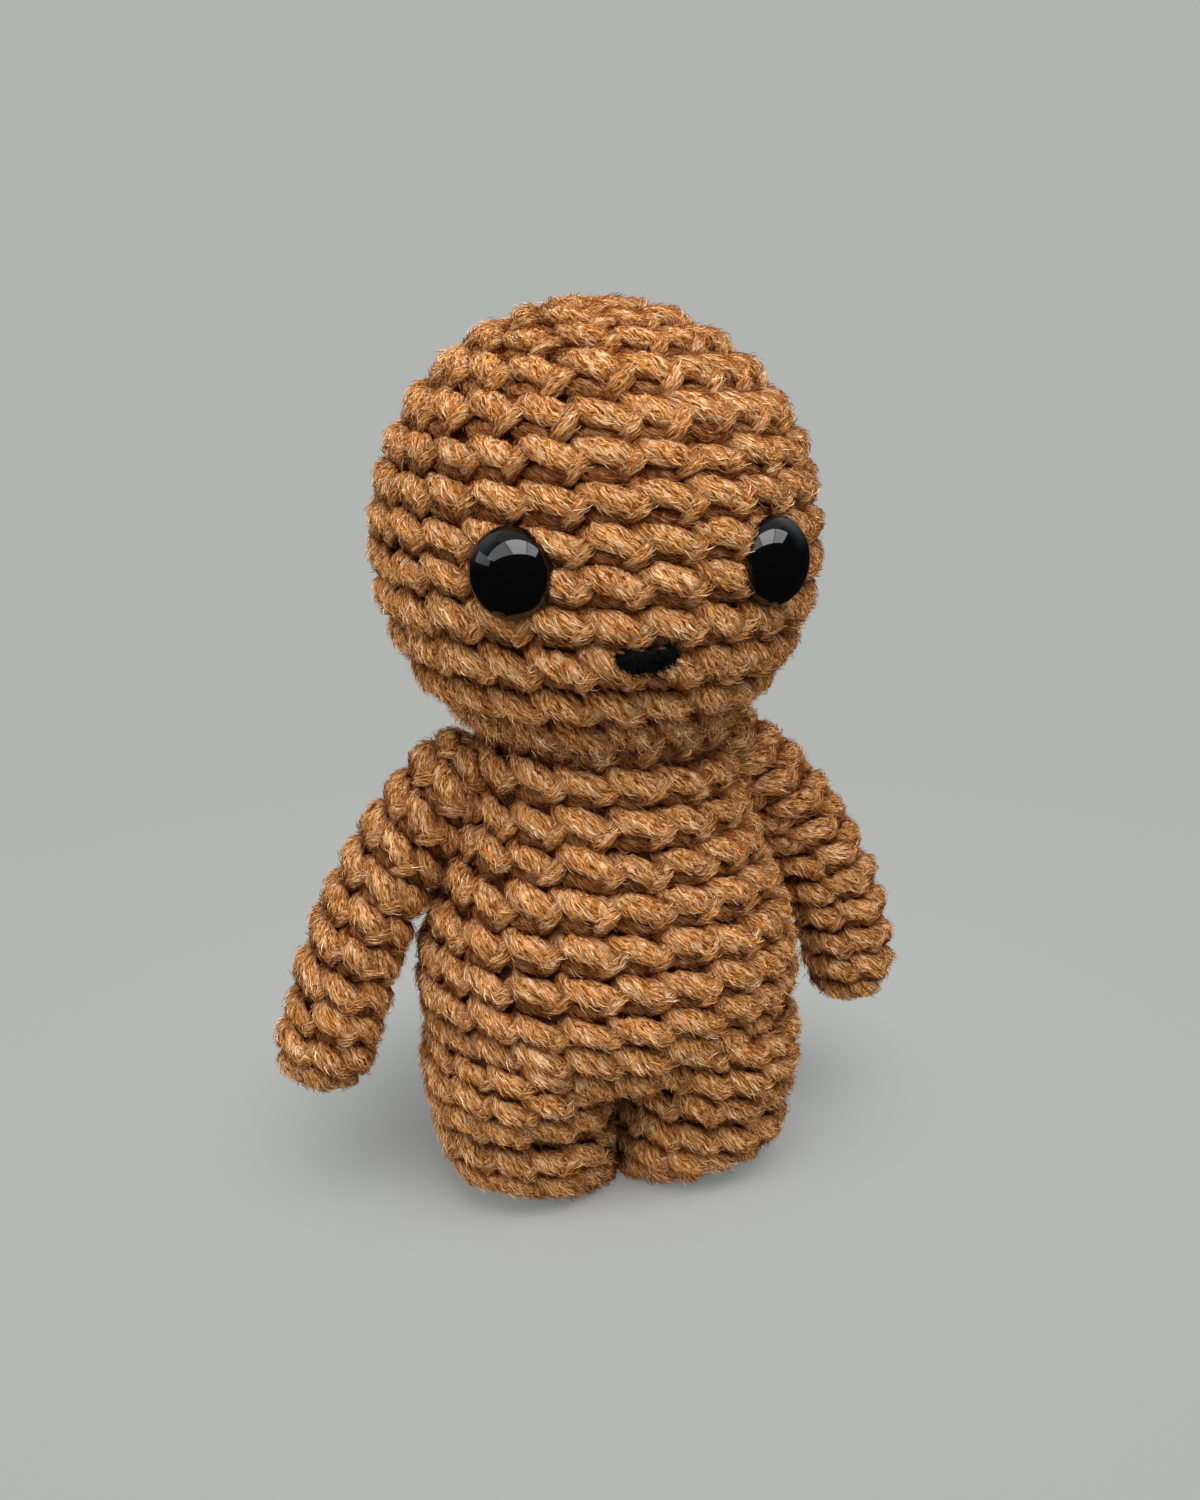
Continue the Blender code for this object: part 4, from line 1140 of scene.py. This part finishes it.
def sewn_tree():
    """Spins curves into yarn; outward is away from a point inside."""
    if "sewn_yarn" in bpy.data.node_groups:
        return bpy.data.node_groups["sewn_yarn"]
    tree, source = new_tree("sewn_yarn", (("Inside", "NodeSocketVector", None),) + YARN_INPUTS)
    away = calc(tree, "V_SUBTRACT", add(tree, "GeometryNodeInputPosition").outputs[0], source["Inside"])
    curves = store(tree, source["Geometry"], "outward", calc(tree, "V_NORMALIZE", away))
    finish_tree(tree, source, use_yarn_group(tree, source, curves))
    return tree


def sew(name, paths, inside, material, seed, **changes):
    """Yarn along paths of (point, radius), with a point that lies inside of all of them."""
    curve = bpy.data.curves.new(name, "CURVE")
    curve.dimensions = "3D"
    for path, closed in paths:
        spline = curve.splines.new("POLY")
        spline.use_cyclic_u = closed
        spline.points.add(len(path) - 1)
        for point, (place, radius) in zip(spline.points, path):
            point.co = (*place, 1)
            point.radius = radius
    holder = bpy.data.objects.new(name + "_path", curve)
    bpy.context.scene.collection.objects.link(holder)
    modifier = holder.modifiers.new("sewn", "NODES")
    modifier.node_group = sewn_tree()
    values = yarn_values(material, seed, int(sqrt(len(paths))) + 1)
    values["Inside"] = inside
    set_inputs(modifier, values | changes)
    made = bake_down(holder, name)
    print(name, sum(len(p.vertices) - 2 for p in made.data.polygons), "triangles")
    return made


def curved(knots, steps):
    """A smooth path through knots of a place and a radius."""
    rows = smooth_path([(*place, radius) for place, radius in knots], steps)
    return [(Vector(row[:3]), row[3]) for row in rows]


def stitch_mouth():
    """One short black stitch, with the yarn dipping into the head at both corners."""
    corner = MOUTH_HALF_WIDTH / (HEAD_RADIUS * cos(MOUTH_LATITUDE))
    shape = (
        (-1.04, 0.026, -MOUTH_TAIL, 0.7),
        (-1.0, 0.022, -1.0 * MM, 0.95),
        (-0.66, 0.014, 0.45 * MM, 1.15),
        (-0.15, 0.012, 0.7 * MM, 1.25),
        (0.35, 0.02, 0.6 * MM, 1.08),
        (0.8, 0.027, 0.2 * MM, 0.7),
        (1.06, 0.03, -MOUTH_TAIL, 0.5),
    )
    knots = []
    for turn, rise, lift, thickness in shape:
        knots.append((head_point(turn * corner, MOUTH_LATITUDE + rise, lift), thickness * MOUTH_YARN_RADIUS))
    inside = (0, 0, HEAD_CENTRE_HEIGHT)
    changes = {"Fibre density": 30 / MM**2, "Fibre length": 1.3 * MM, "Fibre lift": 0.8, "Fibre spread": 1.5,
               "Fibre radius": 0.05 * MM}
    made = sew("mouth_yarn", [(curved(knots, 24), False)], inside, black_yarn_material(), 41, **changes)
    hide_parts("mouth_stitch")
    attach(made, "head")
    return made


def gather_crown():
    """The ring of yarn that the first round is worked into."""
    path = []
    for i in range(18):
        turn = 2 * pi * i / 18
        place = Vector((CROWN_RING_RADIUS * cos(turn), CROWN_RING_RADIUS * sin(turn), HEAD_TOP_HEIGHT - 1.3 * MM))
        path.append((place, 1.15 * MM))
    inside = (0, 0, HEAD_CENTRE_HEIGHT)
    made = sew("crown_gathering", [(path, True)], inside, yarn_material(), 42)
    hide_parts("crown_yarn")
    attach(made, "head")
    return made


def whip_arm(side):
    """Slanting whipstitches over the joint between an arm's root and the flank."""
    sign = SIDES[side]
    axis = Vector((sign * cos(SHOULDER_TILT), 0, sin(SHOULDER_TILT)))
    up = Vector((-sign * sin(SHOULDER_TILT), 0, cos(SHOULDER_TILT)))
    inset = ARM_ROOT_RADIUS - ROOT_PRESS - SEAM_YARN_RADIUS - SEAM_CLEARANCE
    reach = sqrt((ARM_ROOT_RADIUS + GAP + SEAM_YARN_RADIUS) ** 2 - inset**2)
    place = Matrix.Translation(shoulder(side)) @ Matrix.Rotation(sign * SHOULDER_AZIMUTH[side], 4, "Z")
    paths = []
    count = 8
    for i in range(count):
        turn = SEAM_HALF_TURN * 1.15 * (2 * i / (count - 1) - 1)
        knots = []
        for along, lift, lean in ((-2.0, -1.8, -0.1), (-1.0, -0.4, -0.05), (0.1, 0.1, 0.0), (1.2, -0.2, 0.07), (2.2, -1.8, 0.13)):
            angle = turn + lean
            way = up * cos(angle) + Vector((0, sin(angle), 0))
            knots.append((place @ (way * (reach + lift * MM) + axis * (along * MM - inset)), SEAM_STITCH_RADIUS))
        paths.append((curved(knots, 11), False))
    inside = place @ (axis * -inset)
    made = sew("arm_whipstitch_" + side, paths, inside, yarn_material(), 43 + sign)
    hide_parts("arm_seam_" + side)
    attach(made, "shoulder_" + side)
    return made


def black_yarn_material():
    """Black acrylic yarn, matt and a little hairy."""
    name = "black_acrylic_yarn"
    made, tree, shader = shader_tree(name)
    place = add(tree, "ShaderNodeAttribute", attribute_name="fibre_place").outputs["Vector"]
    stretched = add(tree, "ShaderNodeMapping", {"Vector": place, "Scale": (0.4, 2.6, 2.6)}).outputs[0]
    streaks = add(tree, "ShaderNodeTexNoise", {"Vector": stretched, "Scale": 2.2, "Detail": 3.0})
    ramp = add(tree, "ShaderNodeValToRGB", {"Fac": streaks.outputs["Fac"]})
    ramp.color_ramp.elements[0].color = (*linear("#010101"), 1)
    ramp.color_ramp.elements[1].color = (*linear("#0F0E0F"), 1)
    tree.links.new(ramp.outputs[0], shader.inputs["Base Color"])
    shader.inputs["Roughness"].default_value = 0.85
    shader.inputs["Specular IOR Level"].default_value = 0.08
    return made


def stuff(name, form, body, node, seed):
    """Lumpy fibrefill a fabric's thickness inside a form."""
    holder = form.object(name + "_form", columns=48)
    mesh = holder.data
    bpy.data.objects.remove(holder)
    made = bpy.data.objects.new(name, mesh)
    bpy.context.scene.collection.objects.link(made)
    bm = bmesh.new()
    bm.from_mesh(mesh)
    bmesh.ops.remove_doubles(bm, verts=bm.verts, dist=0.05 * MM)
    bmesh.ops.holes_fill(bm, edges=[e for e in bm.edges if e.is_boundary], sides=0)
    bmesh.ops.recalc_face_normals(bm, faces=bm.faces)
    bm.normal_update()
    for vert, normal in [(v, v.normal.copy()) for v in bm.verts]:
        lump = noise.fractal(vert.co / (5 * MM) + Vector((seed, 0, 0)), 0.7, 2.0, 3)
        vert.co += normal * (lump * 0.9 * MM - 0.9 * MM)
    bm.to_mesh(mesh)
    bm.free()
    mesh.shade_smooth()
    made.data.materials.append(stuffing_material())
    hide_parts(node)
    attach(made, body)
    return made


def shrunk(form, depth, low, high):
    """The form with its surface moved in by a depth, and cut to the rings between two heights."""
    radii = (np.linalg.norm(form.across, axis=1) + np.linalg.norm(form.forward, axis=1)) / 2
    step = np.gradient(form.centres, axis=0)
    widening = np.gradient(radii)
    run = np.linalg.norm(step, axis=1)
    length = np.hypot(run, widening)
    centres = form.centres + step * (depth * widening / (length * np.maximum(run, 0.01 * MM)))[:, None]
    factor = np.maximum(1 - depth * run / length / np.maximum(radii, 0.01 * MM), 0.02)[:, None]
    keep = (centres[:, 2] >= low) & (centres[:, 2] <= high)
    return Form(centres[keep], (form.across * factor)[keep], (form.forward * factor)[keep])


def make_stuffing():
    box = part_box("head_filling")
    head = shrunk(head_form(), FABRIC, low=box[0][2] + 1 * MM, high=box[1][2] - 1 * MM)
    stuff("head_fibrefill", head, "head", "head_filling", 1)
    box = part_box("torso_filling")
    torso = shrunk(torso_form(), FABRIC, low=box[0][2] + 1 * MM, high=box[1][2] - 1 * MM)
    stuff("torso_fibrefill", torso, "torso", "torso_filling", 2)
    for side in SIDES:
        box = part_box("leg_filling_" + side)
        leg = shrunk(leg_form(side), FABRIC, low=box[0][2] + 1 * MM, high=box[1][2] - 1 * MM)
        stuff("leg_fibrefill_" + side, leg, "torso", "leg_filling_" + side, 3)
        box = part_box("arm_filling_" + side)
        arm = shrunk(arm_form(side), ARM_FABRIC, low=box[0][2] + 1 * MM, high=box[1][2] - 1 * MM)
        stuff("arm_fibrefill_" + side, arm, "arm_" + side, "arm_filling_" + side, 4)


def paint_washers():
    made = washer_material()
    for side in SIDES:
        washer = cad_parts["eye_washer_" + side]
        washer.data.materials.clear()
        washer.data.materials.append(made)


# Stage


CAMERA_TURN = radians(-12.16)
CAMERA_HEIGHT = 107.745 * MM
CAMERA_DISTANCE = 190.542 * MM
CAMERA_FOCAL_PIXELS = 1619.675
CAMERA_PITCH = radians(15.0236)
CAMERA_ROLL = radians(-1.7243)
CAMERA_YAW = radians(-0.0873)
IMAGE_HEIGHT = 1500
SENSOR = 36.0


def make_camera():
    forward = Vector((-sin(CAMERA_TURN), cos(CAMERA_TURN), 0))
    right = Vector((cos(CAMERA_TURN), sin(CAMERA_TURN), 0))
    ahead = forward * cos(CAMERA_YAW) + right * sin(CAMERA_YAW)
    right = right * cos(CAMERA_YAW) - forward * sin(CAMERA_YAW)
    look = ahead * cos(CAMERA_PITCH) - Vector((0, 0, sin(CAMERA_PITCH)))
    up = right.cross(look)
    side = right * cos(CAMERA_ROLL) + up * sin(CAMERA_ROLL)
    top = up * cos(CAMERA_ROLL) - right * sin(CAMERA_ROLL)
    data = bpy.data.cameras.new("camera")
    data.sensor_fit = "AUTO"
    data.sensor_width = SENSOR
    data.lens = CAMERA_FOCAL_PIXELS * SENSOR / IMAGE_HEIGHT
    camera = bpy.data.objects.new("camera", data)
    bpy.context.scene.collection.objects.link(camera)
    turn = Matrix((side, top, -look)).transposed().to_4x4()
    place = Vector((sin(CAMERA_TURN) * CAMERA_DISTANCE, -cos(CAMERA_TURN) * CAMERA_DISTANCE, CAMERA_HEIGHT))
    camera.matrix_world = Matrix.Translation(place) @ turn
    data.clip_start = 0.01
    data.clip_end = 20
    bpy.context.scene.camera = camera


def area_light(name, place, target, size, power, colour="#FFFFFF"):
    data = bpy.data.lights.new(name, "AREA")
    data.shape = "RECTANGLE"
    data.size, data.size_y = size
    data.energy = power
    data.color = linear(colour)
    made = bpy.data.objects.new(name, data)
    bpy.context.scene.collection.objects.link(made)
    made.location = place
    made.rotation_euler = (Vector(target) - Vector(place)).to_track_quat("-Z", "Y").to_euler()
    return made


def make_sweep():
    """A paper sweep: a floor that curves up into a backdrop all round, far from the doll."""
    profile = [(0.0, 0.0), (0.3, 0.0), (0.7, 0.0), (1.2, 0.0)]
    for turn in np.linspace(-pi / 2, 0, 17)[1:]:
        profile.append((1.2 + 0.8 * cos(turn), 0.8 + 0.8 * sin(turn)))
    profile += [(2.0, 3.0)]
    bm = bmesh.new()
    steps = 64
    turns = [2 * pi * i / steps for i in range(steps)]
    centre = bm.verts.new((0, 0, 0))
    loops = [[bm.verts.new((r * cos(t), r * sin(t), z)) for t in turns] for r, z in profile[1:]]
    for i in range(steps):
        j = (i + 1) % steps
        bm.faces.new((centre, loops[0][i], loops[0][j]))
        for low, high in zip(loops[:-1], loops[1:]):
            bm.faces.new((low[i], high[i], high[j], low[j]))
    mesh = bpy.data.meshes.new("paper_sweep")
    bm.to_mesh(mesh)
    bm.free()
    mesh.shade_smooth()
    made = bpy.data.objects.new("paper_sweep", mesh)
    bpy.context.scene.collection.objects.link(made)
    made.data.materials.append(sweep_material())


def sweep_material():
    """Matt grey paper: it takes the doll's soft shadow, and far off it shows one even grey."""
    settings = bpy.context.scene.doll_stage
    made, tree, shader = shader_tree("matt_grey_paper")
    place = add(tree, "ShaderNodeTexCoord").outputs["Object"]
    apart = add(tree, "ShaderNodeSeparateXYZ", {0: place}).outputs
    reach = add(tree, "ShaderNodeVectorMath", {0: place, 1: (0, 0.019, 0)}, operation="DISTANCE").outputs["Value"]
    grain = add(tree, "ShaderNodeTexNoise", {"Vector": place, "Scale": 700.0, "Detail": 4.0})
    bump = add(tree, "ShaderNodeBump", {"Height": grain.outputs["Fac"], "Strength": 0.05, "Distance": 0.1 * MM})
    shader.inputs["Base Color"].default_value = (*[0.84 * c for c in settings.floor_colour], 1)
    shader.inputs["Roughness"].default_value = 0.9
    shader.inputs["Specular IOR Level"].default_value = 0.15
    tree.links.new(bump.outputs[0], shader.inputs["Normal"])
    far = add(tree, "ShaderNodeMapRange", {"Value": reach, "From Min": 0.02, "From Max": 0.058, "To Min": 0.26},
              interpolation_type="SMOOTHSTEP").outputs[0]
    away = add(tree, "ShaderNodeMapRange", {"Value": reach, "From Min": 0.05, "From Max": 0.2}).outputs[0]
    colour = add(tree, "ShaderNodeMix", {
        "Factor": away, 6: (*settings.floor_colour, 1), 7: (*settings.backdrop_colour, 1)
    }, data_type="RGBA").outputs[2]
    glow = add(tree, "ShaderNodeEmission", {"Color": colour}).outputs[0]
    seen = add(tree, "ShaderNodeLightPath").outputs["Is Camera Ray"]
    share = add(tree, "ShaderNodeMath", {0: far, 1: seen}, operation="MULTIPLY").outputs[0]
    mixed = add(tree, "ShaderNodeMixShader", {0: share, 1: shader.outputs[0], 2: glow}).outputs[0]
    # painted reflection: to glossy rays the sweep glows, near black in front and pale grey high up behind, so that the
    # polished eyes mirror an unlit room in front and a lit backdrop behind
    mirrored = add(tree, "ShaderNodeLightPath").outputs["Is Glossy Ray"]
    behind = add(tree, "ShaderNodeMapRange", {"Value": apart[1], "From Min": -0.5, "From Max": 0.8}).outputs[0]
    high = add(tree, "ShaderNodeMapRange", {"Value": apart[2], "From Min": 0.1, "From Max": 1.6}).outputs[0]
    reflection_grey = add(tree, "ShaderNodeMath", {0: behind, 1: high}, operation="MULTIPLY").outputs[0]
    reflection_grey = add(tree, "ShaderNodeMix", {
        "Factor": reflection_grey, 6: (*linear("#1C1D1E"), 1), 7: (*linear("#C9CDD1"), 1)
    }, data_type="RGBA").outputs[2]
    dark = add(tree, "ShaderNodeEmission", {"Color": reflection_grey}).outputs[0]
    mixed = add(tree, "ShaderNodeMixShader", {0: mirrored, 1: mixed, 2: dark}).outputs[0]
    tree.links.new(mixed, tree.nodes["Material Output"].inputs["Surface"])
    return made


def make_lights():
    settings = bpy.context.scene.doll_stage
    target = (0, 0, HEAD_CENTRE_HEIGHT)
    for i, (low, high, share) in enumerate(((-1.05, -0.2, 0.36), (-0.185, 0.15, 0.38), (0.165, 0.5, 0.26))):
        middle = (low + high) / 2
        area_light(f"overhead_{i + 1}", (middle, -0.3, 0.46), (middle, -0.3, 0), (high - low, 0.38),
                   settings.key_power * share)
    area_light("window_left", (-1.15, 0.15, 0.42), target, (1.0, 0.3), settings.window_power)
    front = area_light("front_left", (-0.45, -0.5, 0.35), target, (0.4, 0.4), settings.fill_power)
    front.visible_glossy = False
    world = bpy.data.worlds.new("studio")
    world.use_nodes = True
    background = world.node_tree.nodes["Background"]
    background.inputs["Color"].default_value = (1, 1, 1, 1)
    background.inputs["Strength"].default_value = settings.room_light
    bpy.context.scene.world = world


# Operators


class DOLL_OT_head(bpy.types.Operator):
    """Crochet the head"""

    bl_idname = "doll.head"
    bl_label = "Head"

    def execute(self, context):
        crochet_head()
        return {"FINISHED"}


class DOLL_OT_neck(bpy.types.Operator):
    """Crochet the neck"""

    bl_idname = "doll.neck"
    bl_label = "Neck"

    def execute(self, context):
        crochet_neck()
        return {"FINISHED"}


class DOLL_OT_torso(bpy.types.Operator):
    """Crochet the torso"""

    bl_idname = "doll.torso"
    bl_label = "Torso"

    def execute(self, context):
        crochet_torso()
        return {"FINISHED"}


class DOLL_OT_legs(bpy.types.Operator):
    """Crochet both legs"""

    bl_idname = "doll.legs"
    bl_label = "Legs"

    def execute(self, context):
        for side in SIDES:
            crochet_leg(side)
        return {"FINISHED"}


class DOLL_OT_arms(bpy.types.Operator):
    """Crochet both arms"""

    bl_idname = "doll.arms"
    bl_label = "Arms"

    def execute(self, context):
        for side in SIDES:
            crochet_arm(side)
        return {"FINISHED"}


class DOLL_OT_eyes(bpy.types.Operator):
    """Set the safety eyes"""

    bl_idname = "doll.eyes"
    bl_label = "Eyes"

    def execute(self, context):
        for side in SIDES:
            make_eye(side)
        return {"FINISHED"}


class DOLL_OT_sewing(bpy.types.Operator):
    """Sew the mouth, gather the crown and whipstitch the arms on"""

    bl_idname = "doll.sewing"
    bl_label = "Sewing"

    def execute(self, context):
        stitch_mouth()
        gather_crown()
        for side in SIDES:
            whip_arm(side)
        return {"FINISHED"}


class DOLL_OT_stuffing(bpy.types.Operator):
    """Fill the doll, and give the eyes' washers their plastic"""

    bl_idname = "doll.stuffing"
    bl_label = "Stuffing"

    def execute(self, context):
        make_stuffing()
        paint_washers()
        return {"FINISHED"}


class DOLL_OT_stage(bpy.types.Operator):
    """Set the floor, the lights and the camera"""

    bl_idname = "doll.stage"
    bl_label = "Stage"

    def execute(self, context):
        make_camera()
        make_sweep()
        make_lights()
        context.scene.view_settings.view_transform = "Standard"
        return {"FINISHED"}


STEPS = (
    DOLL_OT_stage, DOLL_OT_head, DOLL_OT_neck, DOLL_OT_torso, DOLL_OT_legs, DOLL_OT_arms, DOLL_OT_eyes,
    DOLL_OT_sewing, DOLL_OT_stuffing,
)


class DOLL_PT_panel(bpy.types.Panel):
    """Lists the steps of the doll"""

    bl_label = "Crocheted doll"
    bl_space_type = "VIEW_3D"
    bl_region_type = "UI"
    bl_category = "Doll"

    def draw(self, context):
        for step in STEPS:
            self.layout.operator(step.bl_idname)


CLASSES = (YarnSettings, EyeSettings, StageSettings, *STEPS, DOLL_PT_panel)


def register():
    for cls in CLASSES:
        bpy.utils.register_class(cls)
    bpy.types.Scene.doll_yarn = bpy.props.PointerProperty(type=YarnSettings)
    bpy.types.Scene.doll_eyes = bpy.props.PointerProperty(type=EyeSettings)
    bpy.types.Scene.doll_stage = bpy.props.PointerProperty(type=StageSettings)


def unregister():
    del bpy.types.Scene.doll_yarn
    del bpy.types.Scene.doll_eyes
    del bpy.types.Scene.doll_stage
    for cls in reversed(CLASSES):
        bpy.utils.unregister_class(cls)


def main():
    register()
    bpy.ops.doll.stage()
    bpy.ops.doll.head()
    bpy.ops.doll.neck()
    bpy.ops.doll.torso()
    bpy.ops.doll.legs()
    bpy.ops.doll.arms()
    bpy.ops.doll.eyes()
    bpy.ops.doll.sewing()
    bpy.ops.doll.stuffing()


if __name__ == "__main__":
    main()
